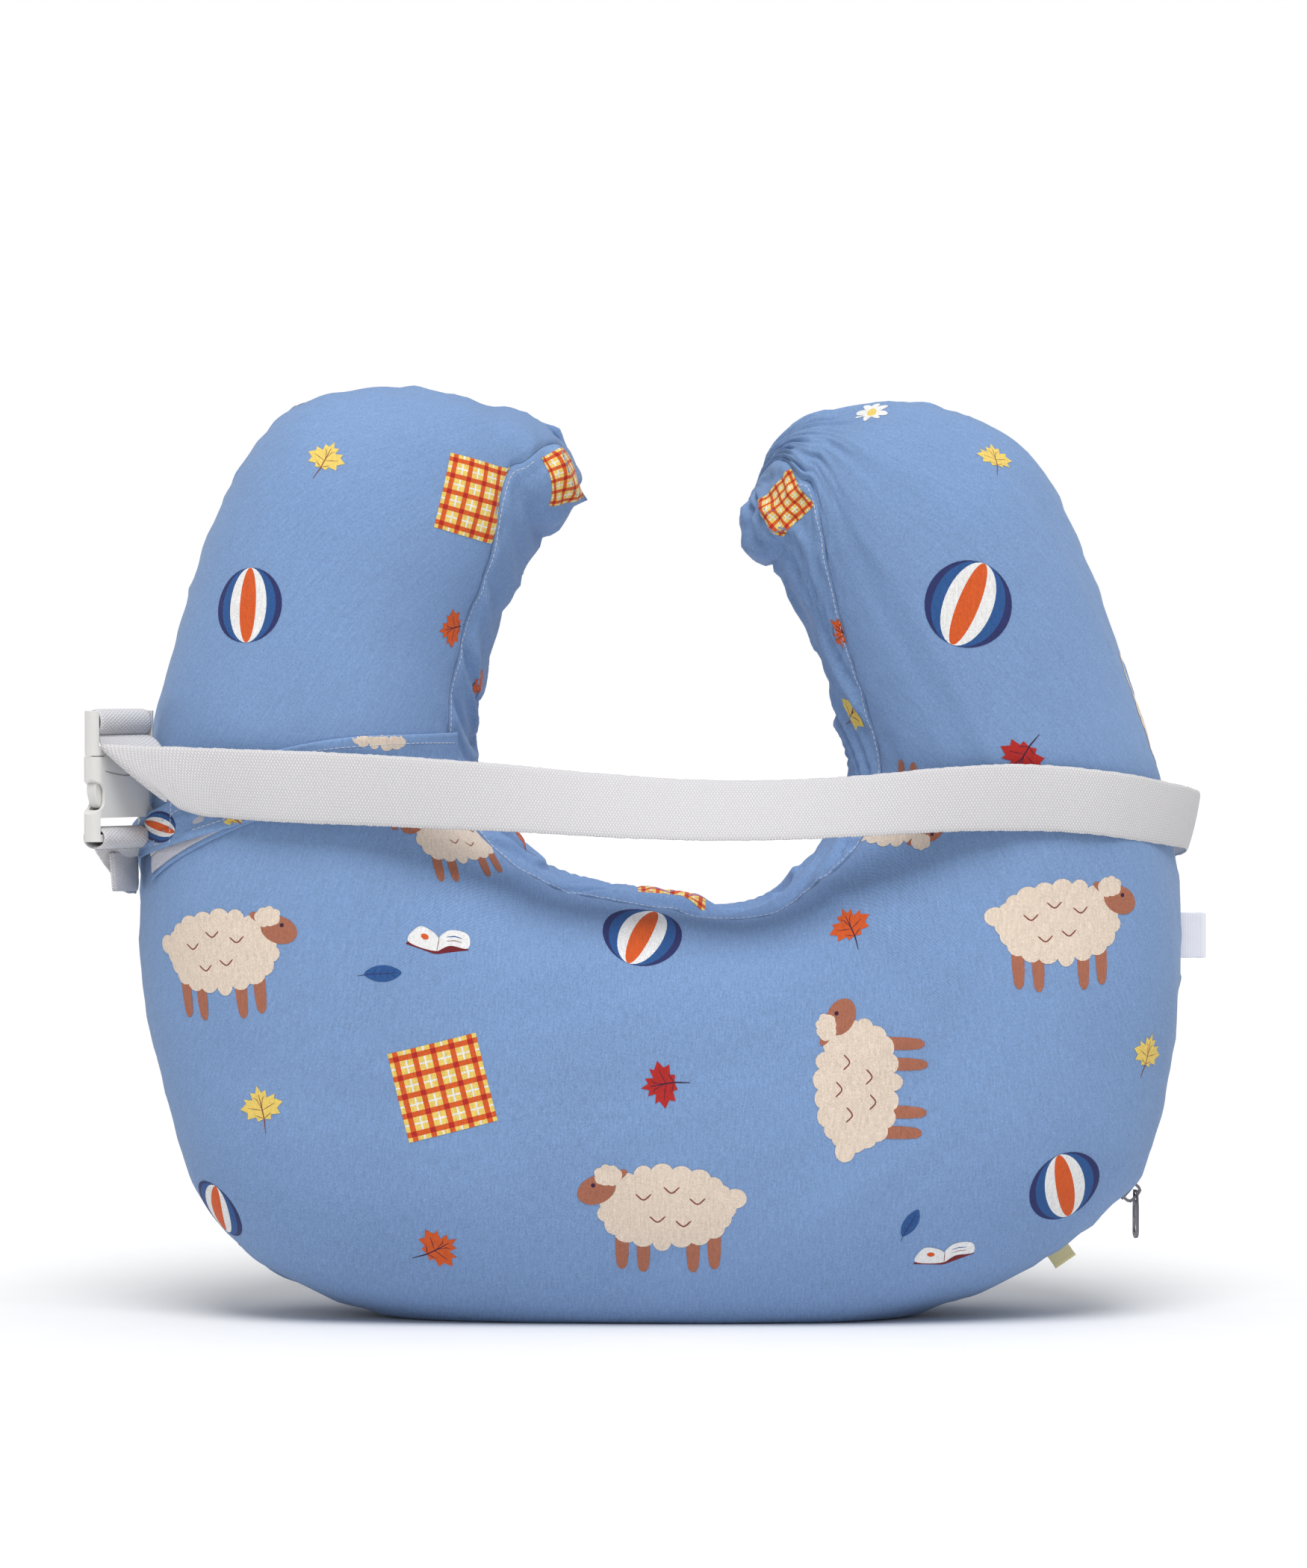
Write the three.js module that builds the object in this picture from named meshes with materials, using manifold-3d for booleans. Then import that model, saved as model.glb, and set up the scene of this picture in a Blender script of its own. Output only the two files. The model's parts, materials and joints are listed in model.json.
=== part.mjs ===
// Nursing pillow: a C-shaped pillow that stands on the outside of its curve, with a zipped
// cover, a lined fibre filling, a waist strap with a side-release buckle and an arm band.
// Millimetres, +Z up. The front faces -Y and +X is to the right of someone looking at it.
import * as THREE from 'three';
import { mergeVertices } from 'three/addons/utils/BufferGeometryUtils.js';
import Module from 'manifold-3d';

const wasm = await Module();
wasm.setup();

// ---------------------------------------------------------------- driving dimensions

const FOOT_CENTRE = { x: -10.06, y: -3.91 }; // pillow coordinates of the row frame's origin

// The outer corner at the lower right is a true arc, so that the zip slider can follow it.
const ZIP_ARC = { x: 94.7, z: 203.9, radius: 205 };
const onZipArc = (degrees) => {
  const angle = THREE.MathUtils.degToRad(degrees);
  return [ZIP_ARC.x + ZIP_ARC.radius * Math.cos(angle), ZIP_ARC.z + ZIP_ARC.radius * Math.sin(angle)];
};

// Cross-sections from the left arm's end, round the base, to the right arm's end:
// outer edge x and z, inner edge x and z, half thickness, and the gusset seam's angle
// round the section, which is 0 at the outer seam and 180 at the middle of the gusset.
const SECTIONS = [
  [-83, 484, -58, 412, 50, 88],
  [-118, 494, -76, 398, 63, 118],
  [-155, 497, -87, 372, 69, 133],
  [-192, 486, -95, 349, 77, 140],
  [-230, 437, -101, 320, 81, 142],
  [-257, 362, -99, 293, 82, 142],
  [-276, 285, -92, 275, 83, 142],
  [-281, 205, -81, 259, 85, 145],
  [-265, 121, -68, 245, 87, 150],
  [-229, 52, -51, 235, 88, 155],
  [-172, 10, -31, 230, 88, 157],
  [-95, -8, -13, 227, 88, 157],
  [0, -12, 4, 225, 88, 157],
  [92, -8, 19, 221, 88, 157],
  [...onZipArc(-75), 36, 219, 88, 157],
  [...onZipArc(-63), 50, 221, 88, 156],
  [...onZipArc(-51), 62, 227, 88, 154],
  [...onZipArc(-43), 69, 233, 87, 152],
  [...onZipArc(-37), 74, 239, 87, 150],
  [275, 142, 83, 248, 86, 147],
  [280, 205, 93, 263, 84, 144],
  [274, 272, 100, 282, 83, 142],
  [254, 338, 99, 304, 82, 142],
  [229, 403, 92, 327, 81, 142],
  [196, 462, 85, 350, 77, 140],
  [160, 484, 79, 367, 69, 133],
  [122, 491, 70, 385, 63, 118],
  [86, 484, 55, 400, 50, 88],
];
const TIPS = [new THREE.Vector3(-41, 0, 448), new THREE.Vector3(38, 0, 431)];
const TIP_ANGLE = THREE.MathUtils.degToRad(60); // how much of a round cap closes each arm
const TIP_SEAM = 40; // the gusset seam's angle right at the arm's end, degrees
const OUTER_POWER = 0.9; // 1 is an ellipse and less is squarer
const INNER_POWER = { narrow: 1, wide: 0.72, narrowHalf: 92, wideHalf: 118 };
const SEAM_VALLEY = { depth: 1.8, spread: 7 }; // mm deep, degrees wide, in the cover only

// Depths below the outer surface of each layer's outer and inner face.
const COVER = [0, 1.5];
const LINER = [6.6, 7.8];
const FILLING_INSET = 10.5;
const SEAM_GAP = 0.35; // half the gap between two cover panels

const LAST = SECTIONS.length - 1;
const COVER_ENDS = 0.82; // how far past the end sections the cover reaches, 1 being the tip
const LINER_ENDS = 0.5;
const FILLING_ENDS = 0.42;
const COLUMNS = 60; // along the pillow; every layer is divided alike, so that none cuts another
const [PANEL_ROWS, GUSSET_ROWS, LINER_ROWS] = [8, 7, 6];
const CROWDING = 1.35; // of the rows towards the outer seam

const ZIP = { firstColumn: 21, lastColumn: 39, halfOpening: 2.6 };
const ZIP_FADE = 0.35; // sections over which the cover's edges close beyond the zip's ends
const TEETH = { near: 0.65, far: 2.25, top: 0.6, bottom: 2.6 };
const TAPE = { near: 0.65, far: 11, top: 2.9, bottom: 3.4 };
const STOP = { from: 0.04, length: 0.06 }; // in sections, from each end of the zip's opening
const SLIDER = { angle: -41.5, length: 12, width: 9, plate: 1.4, lift: 0.6, floor: 4.5, web: 0.6 };
const BRIDGE = { height: 4.4, bar: 1.4, length: 11, leg: 1.4, width: 2 };
const PULL = { length: 26, width: 6.6, thickness: 1.2, twist: 17, eye: 2.2, rim: 1.3 };

const WEB = { width: 38, thickness: 1.5 };
const BUCKLE = { x: -291.5, y: -52, turn: 50, bottom: 254, width: 46, depth: 11.5 };
const SOCKET = { height: 46, cavity: 39.6, cavityDepth: 7.6, cavityFloor: 15, notch: [17, 32], waist: 16.5 };
const SOCKET_SLOT = { low: 4, high: 13, half: 19.4 };
const PLUG = { wall: 3.6, top: 70.8, body: [46.4, 51.6], bar: [60, 68.5], barDepth: 5, tongue: 22 };
const LATCH = { root: 14, head: 20.6, tip: 17.6, inner: 12.5, thickness: 6.6, low: 18, rootHeight: 46.1 };

// Rings of webbing round the buckle's bars: height of the centre, half depth, half height.
const STRAP_RING = [64.25, 4.95, 6.35];
const TETHER_RING = [2, 7.6, 5.2];

const BAND = { thickness: 1.2, lift: 0.5, patch: 0.8, gap: 0.8 };
const LABEL = { x: 281, length: 9, height: 24, thickness: 0.6, z: 204 };
const TAB = { angle: -55.4, width: 13, length: 8.6, thickness: 1, lift: 0.6, y: 12 };

const COLOURS = {
  cotton: ['#86a1cb', 0.85, 0],
  liner: ['#e9e6df', 0.9, 0],
  fibre: ['#f4f3ef', 1, 0],
  webbing: ['#e4e2e5', 0.75, 0],
  buckle: ['#e3e2e0', 0.4, 0],
  nylon: ['#f0efec', 0.5, 0],
  zinc: ['#9a9a9e', 0.3, 1],
  hookLoop: ['#c9cad6', 0.95, 0],
  label: ['#e6e5ec', 0.5, 0],
  ribbon: ['#efe3b4', 0.7, 0],
};

// ---------------------------------------------------------------- general helpers

const v3 = (x, y, z) => new THREE.Vector3(x, y, z);
const range = (count) => Array.from({ length: count }, (_, i) => i);
const steps = (from, to, count) => range(count + 1).map((i) => from + ((to - from) * i) / count);

const COLUMN_PLACES = steps(-COVER_ENDS, LAST + COVER_ENDS, COLUMNS);
const placesTo = (ends) => [-ends, ...COLUMN_PLACES.slice(1, -1), LAST + ends];
const ZIP_PLACES = COLUMN_PLACES.slice(ZIP.firstColumn, ZIP.lastColumn + 1);
const [ZIP_START, ZIP_END] = [ZIP_PLACES[0], ZIP_PLACES[ZIP_PLACES.length - 1]];

const group = new THREE.Group();
group.position.set(-FOOT_CENTRE.x, -FOOT_CENTRE.y, 0);

function addMesh(name, geometry, look, parent = group) {
  const [color, roughness, metalness] = COLOURS[look];
  const mesh = new THREE.Mesh(geometry, new THREE.MeshStandardMaterial({ color, roughness, metalness }));
  mesh.name = name;
  parent.add(mesh);
  return mesh;
}

// A closed body from points and triangles, turned so that its faces point out.
function closedBody(points, triangles) {
  let volume = 0;
  for (const [a, b, c] of triangles) {
    volume += points[a].dot(points[b].clone().cross(points[c]));
  }
  const outward = volume < 0 ? triangles.map(([a, b, c]) => [a, c, b]) : triangles;
  const geometry = new THREE.BufferGeometry();
  geometry.setAttribute('position', new THREE.Float32BufferAttribute(points.flatMap((p) => p.toArray()), 3));
  geometry.setIndex(outward.flat());
  return geometry;
}

// A bar of any section: rings of points in order, joined along their length, with flat ends.
function loft(rings) {
  const size = rings[0].length;
  const triangles = [];
  for (const i of range(rings.length - 1)) {
    for (const j of range(size)) {
      const [a, b] = [i * size + j, i * size + ((j + 1) % size)];
      triangles.push([a, b, b + size], [a, b + size, a + size]);
    }
  }
  const end = (rings.length - 1) * size;
  for (const j of range(size - 2)) {
    triangles.push([0, j + 2, j + 1], [end, end + j + 1, end + j + 2]);
  }
  return closedBody(rings.flat(), triangles);
}

// A sheet with thickness: a grid of outer points and a grid of inner points, rimmed all round.
function sheet(outer, inner) {
  const [rows, columns] = [outer.length, outer[0].length];
  const points = [...outer.flat(), ...inner.flat()];
  const under = rows * columns;
  const at = (i, j) => i * columns + j;
  const triangles = [];
  const quad = (a, b, c, d) => triangles.push([a, b, c], [a, c, d]);
  for (const i of range(rows - 1)) {
    for (const j of range(columns - 1)) {
      const corners = [at(i, j), at(i, j + 1), at(i + 1, j + 1), at(i + 1, j)];
      quad(...corners);
      quad(...corners.map((k) => k + under).reverse());
    }
  }
  const rim = (a, b) => quad(b, a, a + under, b + under);
  for (const j of range(columns - 1)) {
    rim(at(0, j), at(0, j + 1));
    rim(at(rows - 1, j + 1), at(rows - 1, j));
  }
  for (const i of range(rows - 1)) {
    rim(at(i + 1, 0), at(i, 0));
    rim(at(i, columns - 1), at(i + 1, columns - 1));
  }
  return closedBody(points, triangles);
}

// A strip of webbing from pairs of edge points, thickened to both sides of its middle.
function webbing(pairs, thickness = WEB.thickness) {
  const middles = pairs.map(([a, b]) => a.clone().lerp(b, 0.5));
  const rings = pairs.map(([a, b], i) => {
    const ahead = middles[Math.min(i + 1, middles.length - 1)];
    const behind = middles[Math.max(i - 1, 0)];
    const normal = ahead.clone().sub(behind).cross(b.clone().sub(a));
    normal.setLength(thickness / 2);
    return [a.clone().add(normal), b.clone().add(normal), b.clone().sub(normal), a.clone().sub(normal)];
  });
  return loft(rings);
}

function toSolid(geometry) {
  const plain = geometry.clone();
  plain.deleteAttribute('normal');
  plain.deleteAttribute('uv');
  const merged = mergeVertices(plain, 1e-4);
  return new wasm.Manifold(new wasm.Mesh({
    numProp: 3,
    vertProperties: new Float32Array(merged.attributes.position.array),
    triVerts: new Uint32Array(merged.index.array),
  }));
}

function toGeometry(solid) {
  const mesh = solid.getMesh();
  const geometry = new THREE.BufferGeometry();
  geometry.setAttribute('position', new THREE.BufferAttribute(new Float32Array(mesh.vertProperties), 3));
  geometry.setIndex(new THREE.BufferAttribute(new Uint32Array(mesh.triVerts), 1));
  return geometry;
}

// A box given by its limits on each axis.
function block([x0, x1], [y0, y1], [z0, z1]) {
  const geometry = new THREE.BoxGeometry(x1 - x0, y1 - y0, z1 - z0);
  geometry.translate((x0 + x1) / 2, (y0 + y1) / 2, (z0 + z1) / 2);
  return toSolid(geometry);
}

// An upright prism with a rounded rectangle as its section.
function roundedPrism(width, depth, radius, z0, z1) {
  const [w, d] = [width / 2, depth / 2];
  const shape = new THREE.Shape();
  shape.moveTo(-w + radius, -d);
  shape.lineTo(w - radius, -d);
  shape.absarc(w - radius, -d + radius, radius, -Math.PI / 2, 0);
  shape.absarc(w - radius, d - radius, radius, 0, Math.PI / 2);
  shape.absarc(-w + radius, d - radius, radius, Math.PI / 2, Math.PI);
  shape.absarc(-w + radius, -d + radius, radius, Math.PI, 1.5 * Math.PI);
  const geometry = new THREE.ExtrudeGeometry(shape, { depth: z1 - z0, bevelEnabled: false, curveSegments: 4 });
  geometry.translate(0, 0, z0);
  return toSolid(mergeVertices(geometry));
}

// ---------------------------------------------------------------- the pillow's surface

const line = (pick) => new THREE.CatmullRomCurve3(SECTIONS.map((s) => v3(...pick(s))));
const OUTER_EDGE = line(([x, z]) => [x, 0, z]);
const INNER_EDGE = line(([, , x, z]) => [x, 0, z]);
const TRAITS = line(([, , , , depth, seam]) => [depth, seam, 0]);

// The cross-section at a place along the pillow, counted in sections. Beyond the first and
// the last section it shrinks to the arm's tip as a round cap.
function sectionAt(place) {
  const inside = THREE.MathUtils.clamp(place, 0, LAST) / LAST;
  const outer = OUTER_EDGE.getPoint(inside);
  const inner = INNER_EDGE.getPoint(inside);
  const traits = TRAITS.getPoint(inside);
  const centre = outer.clone().lerp(inner, 0.5);
  const half = outer.distanceTo(inner) / 2;
  const section = {
    centre,
    half,
    direction: outer.clone().sub(inner).normalize(),
    depth: traits.x,
    seam: traits.y,
    power: THREE.MathUtils.clamp(
      THREE.MathUtils.mapLinear(
        half, INNER_POWER.narrowHalf, INNER_POWER.wideHalf, INNER_POWER.narrow, INNER_POWER.wide),
      INNER_POWER.wide, INNER_POWER.narrow),
  };
  const beyond = Math.max(-place, place - LAST, 0);
  if (beyond > 0) {
    const angle = TIP_ANGLE * (1 - beyond);
    const shrink = Math.sin(angle) / Math.sin(TIP_ANGLE);
    const move = (Math.cos(angle) - Math.cos(TIP_ANGLE)) / (1 - Math.cos(TIP_ANGLE));
    centre.lerp(TIPS[place < 0 ? 0 : 1], move);
    section.half *= shrink;
    section.depth *= shrink;
    section.seam = THREE.MathUtils.lerp(section.seam, TIP_SEAM, beyond);
  }
  return section;
}

// A point of the section's plane, kept above the flat that the pillow rests on.
function planePoint(section, across, y, inset) {
  const point = section.centre.clone().addScaledVector(section.direction, across);
  return v3(point.x, y, Math.max(point.z, inset, 0));
}

// The point at an angle in degrees round the section: positive angles are on the front.
function surfacePoint(place, angle, inset) {
  const section = sectionAt(place);
  const turn = THREE.MathUtils.degToRad(angle);
  const [c, s] = [Math.cos(turn), Math.sin(turn)];
  const power = c < 0 ? section.power : OUTER_POWER;
  const off = (Math.abs(angle) - section.seam) / SEAM_VALLEY.spread;
  const valley = inset > COVER[1] ? 0 : SEAM_VALLEY.depth * Math.exp(-off * off);
  const shrunk = inset + valley * Math.min(1, section.half / 40);
  const across = (section.half - shrunk) * Math.sign(c) * Math.abs(c) ** power;
  const y = -(section.depth - shrunk) * Math.sign(s) * Math.abs(s) ** power;
  return planePoint(section, across, y, inset);
}

// The angle at which a layer near the outer seam is a given distance from the middle plane.
function seamAngle(place, distance, inset = 0) {
  const share = Math.abs(distance) / (sectionAt(place).depth - inset);
  return THREE.MathUtils.radToDeg(Math.asin(Math.min(share, 1) ** (1 / OUTER_POWER))) * -Math.sign(distance);
}

// Half the opening between the front and back panels: wide along the zip, closed elsewhere.
function edgeOpening(place) {
  const beyond = Math.max(ZIP_START - place, place - ZIP_END, 0);
  const closed = THREE.MathUtils.smoothstep(beyond, 0, ZIP_FADE);
  return THREE.MathUtils.lerp(ZIP.halfOpening, SEAM_GAP, closed);
}

// A shell between two angles that may change along the pillow. Its rows lie closer together
// near the first angle by the given crowding.
function panel(ends, rows, fromAngle, toAngle, [outerInset, innerInset], crowding = 1) {
  const grid = (inset) => placesTo(ends).map((place) =>
    steps(0, 1, rows).map((share) => {
      const angle = THREE.MathUtils.lerp(fromAngle(place), toAngle(place), share ** crowding);
      return surfacePoint(place, angle, inset);
    }));
  return sheet(grid(outerInset), grid(innerInset));
}

// The angle from the gusset seam to a panel's edge beside it.
const seamClearance = (place) =>
  THREE.MathUtils.radToDeg(SEAM_GAP / Math.max(sectionAt(place).half, 8));

// ---------------------------------------------------------------- cover, liner and filling

function makeCover() {
  const near = (place) => seamAngle(place, -edgeOpening(place));
  const far = (place) => sectionAt(place).seam - seamClearance(place);
  addMesh('cover_front_panel', panel(COVER_ENDS, PANEL_ROWS, near, far, COVER, CROWDING), 'cotton');
  addMesh('cover_back_panel', panel(COVER_ENDS, PANEL_ROWS, (p) => -near(p), (p) => -far(p), COVER, CROWDING), 'cotton');
  const first = (place) => sectionAt(place).seam + seamClearance(place);
  addMesh('cover_inner_gusset', panel(COVER_ENDS, GUSSET_ROWS, first, (p) => 360 - first(p), COVER), 'cotton');
}

function makeLiner() {
  const near = (place) => seamAngle(place, -SEAM_GAP, LINER[0]);
  addMesh('liner_front', panel(LINER_ENDS, LINER_ROWS, near, (p) => 180 - near(p), LINER, CROWDING), 'liner');
  addMesh('liner_back', panel(LINER_ENDS, LINER_ROWS, (p) => -near(p), (p) => near(p) - 180, LINER, CROWDING), 'liner');
}

function makeFilling() {
  const front = steps(0, 1, LINER_ROWS).map((share) => 180 * share ** CROWDING);
  const angles = [...front, ...front.slice(1, -1).map((angle) => -angle).reverse()];
  const rings = placesTo(FILLING_ENDS).map((place) =>
    angles.map((angle) => surfacePoint(place, angle, FILLING_INSET)));
  addMesh('fibre_filling', loft(rings), 'fibre');
}

// ---------------------------------------------------------------- zip

// A point on the zip: its distance from the middle plane and its depth below the surface.
function zipPoint(place, y, inset) {
  const section = sectionAt(place);
  const angle = THREE.MathUtils.degToRad(seamAngle(place, y, inset));
  return planePoint(section, (section.half - inset) * Math.cos(angle) ** OUTER_POWER, y, inset);
}

function zipStrip(side, { near, far, top, bottom }, shorter = 0) {
  const places = [ZIP_START + shorter, ...ZIP_PLACES.slice(1, -1), ZIP_END - shorter];
  return loft(places.map((place) => [
    zipPoint(place, side * near, top), zipPoint(place, side * far, top),
    zipPoint(place, side * far, bottom), zipPoint(place, side * near, bottom),
  ]));
}

// A part of the slider in its own frame: x along the zip's travel, y across and z outwards,
// with z 0 on the cover's surface.
function makeSlider() {
  const { length, width, plate, lift, floor, web } = SLIDER;
  const top = lift + plate;
  const barTop = top + BRIDGE.height + BRIDGE.bar / 2;
  const barLow = barTop - BRIDGE.bar;
  const half = BRIDGE.length / 2;
  const across = [-BRIDGE.width / 2, BRIDGE.width / 2];
  const solid = [
    block([-length / 2, length / 2], [-width / 2, width / 2], [lift, top]),
    block([-length / 2, length / 2], [-width / 2, width / 2], [-floor - 0.9, -floor]),
    block([-length / 2, length / 2], [-web / 2, web / 2], [-floor - 0.5, lift + 0.5]),
    block([-half, half], across, [barLow, barTop]),
    block([-half, -half + BRIDGE.leg], across, [top - 0.5, barTop]),
    block([half - BRIDGE.leg, half], across, [top - 0.5, barTop]),
  ].reduce((sum, piece) => sum.add(piece));
  const holder = new THREE.Group();
  const [x, z] = onZipArc(SLIDER.angle);
  holder.position.set(x, 0, z);
  holder.rotation.y = THREE.MathUtils.degToRad(90 - SLIDER.angle);
  group.add(holder);
  addMesh('zipper_slider', toGeometry(solid), 'zinc', holder);
}

// The pull hangs from the bridge's bar, its eye round the bar and its middle on it.
function makePull() {
  const { length, width, thickness, twist, eye, rim } = PULL;
  const reach = SLIDER.lift + SLIDER.plate + BRIDGE.height;
  const [w, topEnd, lowEnd] = [width / 2, eye + rim, eye + rim - length];
  const outline = new THREE.Shape();
  outline.moveTo(-w * 0.8, topEnd);
  outline.lineTo(-w, lowEnd + w);
  outline.absarc(0, lowEnd + w, w, Math.PI, 2 * Math.PI);
  outline.lineTo(w * 0.8, topEnd);
  const eyeHole = new THREE.Path();
  eyeHole.moveTo(-1.9, -eye);
  eyeHole.lineTo(1.9, -eye);
  eyeHole.lineTo(1.9, eye);
  eyeHole.lineTo(-1.9, eye);
  const gripHole = new THREE.Path();
  gripHole.absellipse(0, lowEnd + 5.4, 1.7, 3.4, 0, 2 * Math.PI);
  outline.holes.push(eyeHole, gripHole);
  const geometry = new THREE.ExtrudeGeometry(outline, { depth: thickness, bevelEnabled: false, curveSegments: 8 });
  geometry.translate(0, 0, -thickness / 2);
  geometry.rotateX(Math.PI / 2);
  geometry.rotateZ(THREE.MathUtils.degToRad(90 + twist));
  const angle = THREE.MathUtils.degToRad(SLIDER.angle);
  const [x, z] = onZipArc(SLIDER.angle);
  const pull = addMesh('zipper_pull', geometry, 'zinc');
  pull.position.set(x + reach * Math.cos(angle), 0, z + reach * Math.sin(angle));
}

function makeZip() {
  for (const [name, side] of [['front', -1], ['back', 1]]) {
    addMesh(`zipper_tape_${name}`, zipStrip(side, TAPE), 'nylon');
    addMesh(`zipper_teeth_${name}`, zipStrip(side, TEETH, STOP.from + STOP.length), 'nylon');
  }
  for (const [name, end, inwards] of [['bottom', ZIP_START, 1], ['top', ZIP_END, -1]]) {
    const places = [STOP.from, STOP.from + STOP.length * 0.8].map((step) => end + inwards * step);
    const rings = places.map((place) => [
      zipPoint(place, -TEETH.far, TEETH.top), zipPoint(place, TEETH.far, TEETH.top),
      zipPoint(place, TEETH.far, TEETH.bottom), zipPoint(place, -TEETH.far, TEETH.bottom),
    ]);
    addMesh(`zipper_${name}_stop`, loft(rings), 'zinc');
  }
  makeSlider();
  makePull();
}

// ---------------------------------------------------------------- arm band and strap

// How far the pillow's front stands from the middle plane behind a point seen from the
// front, which is given by its x and z. The search runs over the left or the right arm.
function frontDepthAt(x, z) {
  const [from, to] = x < 0 ? [3, 10] : [LAST - 10, LAST - 3];
  let best = { miss: Infinity };
  for (const place of steps(from, to, 140)) {
    const { centre, direction, half, depth } = sectionAt(place);
    const [dx, dz] = [x - centre.x, z - centre.z];
    const miss = Math.abs(dx * direction.z - dz * direction.x);
    if (miss < best.miss) {
      best = { miss, share: (dx * direction.x + dz * direction.z) / half, depth, power: sectionAt(place).power };
    }
  }
  const power = best.share < 0 ? best.power : OUTER_POWER;
  const cosine = Math.min(Math.abs(best.share), 1) ** (1 / power);
  return best.depth * (1 - cosine * cosine) ** (power / 2);
}

// A fabric layer lying on the front of the left arm, between two edges of x and z points.
function armLayer(upper, lower, lift, thickness) {
  const edge = (points) => new THREE.CatmullRomCurve3(points.map(([x, z]) => v3(x, 0, z)));
  const [high, low] = [edge(upper), edge(lower)];
  const grid = (raise) => steps(0, 1, 16).map((along) => steps(0, 1, 4).map((across) => {
    const point = high.getPoint(along).lerp(low.getPoint(along), across);
    return v3(point.x, -frontDepthAt(point.x, point.z) - raise, point.z);
  }));
  return sheet(grid(lift + thickness), grid(lift));
}

function makeArmBand() {
  const { thickness, lift, patch, gap } = BAND;
  const flapTop = [[-102, 308], [-112, 310], [-140, 309], [-184, 306], [-215, 299], [-243, 285], [-262, 271]];
  const flapLow = [[-99, 272], [-108, 271], [-140, 270], [-184, 268], [-218, 264], [-243, 257], [-262, 249]];
  const underTop = [[-190, 300], [-222, 290], [-245, 277], [-264, 261]];
  const underLow = [[-196, 271], [-222, 261], [-245, 250], [-264, 238]];
  addMesh('arm_band_under_layer', armLayer(underTop, underLow, lift, thickness), 'cotton');
  const inset = ([x, z], dz) => [x + 1.5, z + dz];
  const patchTop = underTop.slice(1).map((point) => inset(point, -3));
  const patchLow = underLow.slice(1).map((point) => inset(point, 3));
  const loopLift = lift + thickness + gap;
  addMesh('loop_patch', armLayer(patchTop, patchLow, loopLift, patch), 'hookLoop');
  const hookTop = patchTop.map(([x, z]) => [x, z + 4]);
  const hookLow = patchLow.map(([x, z]) => [x, z + 10]);
  const hookLift = loopLift + patch + gap;
  addMesh('hook_patch', armLayer(hookTop, hookLow, hookLift, patch), 'hookLoop');
  addMesh('arm_band_flap', armLayer(flapTop, flapLow, hookLift + patch + gap, thickness), 'cotton');
}

// The strap's front run from the diagonal fold at the left to its sewn end on the back,
// as pairs of points on its upper and its lower edge.
const STRAP_RUN = [
  [[-298.5, -71.5, 306], [-254, -79, 268.5]],
  [[-278, -75, 305.3], [-247, -80.5, 268]],
  [[-256, -79, 304.6], [-238, -82.5, 267.4]],
  [[-232, -86, 303.8], [-225, -89, 266.2]],
  [[-205, -91.5, 303], [-203, -93.4, 264.9]],
  [[-180, -93, 302], [-180, -94.6, 264]],
  [[-150, -92.4, 300.4], [-150, -94, 262.6]],
  [[-115, -88.5, 298], [-115, -92, 261]],
  [[-75, -83, 294.6], [-75, -92, 259.6]],
  [[-30, -77, 290.4], [-30, -92, 257]],
  [[15, -74, 287.2], [15, -92, 255.2]],
  [[60, -76, 287.2], [60, -92, 255.6]],
  [[105, -81, 289.6], [105, -91.5, 257.4]],
  [[145, -86.5, 293.4], [145, -91, 259.6]],
  [[180, -88.5, 295.6], [180, -90, 260.4]],
  [[208, -85, 295], [208, -86, 259.8]],
  [[232, -78, 292.6], [232, -79, 257.6]],
  [[253, -64, 289.6], [252, -65, 254.6]],
  [[270, -45, 286], [268, -46, 251.6]],
  [[282, -20, 283], [279.5, -21, 249]],
  [[287, 3, 280.6], [284, 3, 247.2]],
  [[283, 26, 279], [280.5, 26, 245.6]],
  [[273, 47, 278], [271, 48, 244.6]],
  [[256, 65, 277.4], [254, 65.5, 244]],
  [[238, 77, 277], [236, 77.5, 243.6]],
];

function makeStrap() {
  addMesh('waist_strap', webbing(STRAP_RUN.map(([a, b]) => [v3(...a), v3(...b)])), 'webbing');
}

// ---------------------------------------------------------------- buckle

// The buckle is built upright in its own frame: x across it, y into it, z up from its lower
// end, and its front face towards -y.
const buckleHolder = new THREE.Group();
buckleHolder.position.set(BUCKLE.x, BUCKLE.y, BUCKLE.bottom);
buckleHolder.rotation.z = THREE.MathUtils.degToRad(BUCKLE.turn);
group.add(buckleHolder);

function makeSocket() {
  const { height, cavity, cavityDepth, cavityFloor, notch, waist } = SOCKET;
  const wide = BUCKLE.width;
  const [across, deep] = [[-cavity / 2, cavity / 2], [-cavityDepth / 2, cavityDepth / 2]];
  let solid = roundedPrism(wide, BUCKLE.depth, 3.5, 0, height);
  solid = solid.subtract(block(across, deep, [cavityFloor, wide + 1]));
  for (const side of [-1, 1]) {
    const limits = [side * waist, side * wide].sort((a, b) => a - b);
    solid = solid.subtract(block(limits, [-wide, wide], notch));
  }
  const { low, high, half } = SOCKET_SLOT;
  solid = solid.subtract(block([-half, half], [-wide, wide], [low, high]));
  addMesh('buckle_socket', toGeometry(solid), 'buckle', buckleHolder);
}

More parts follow.
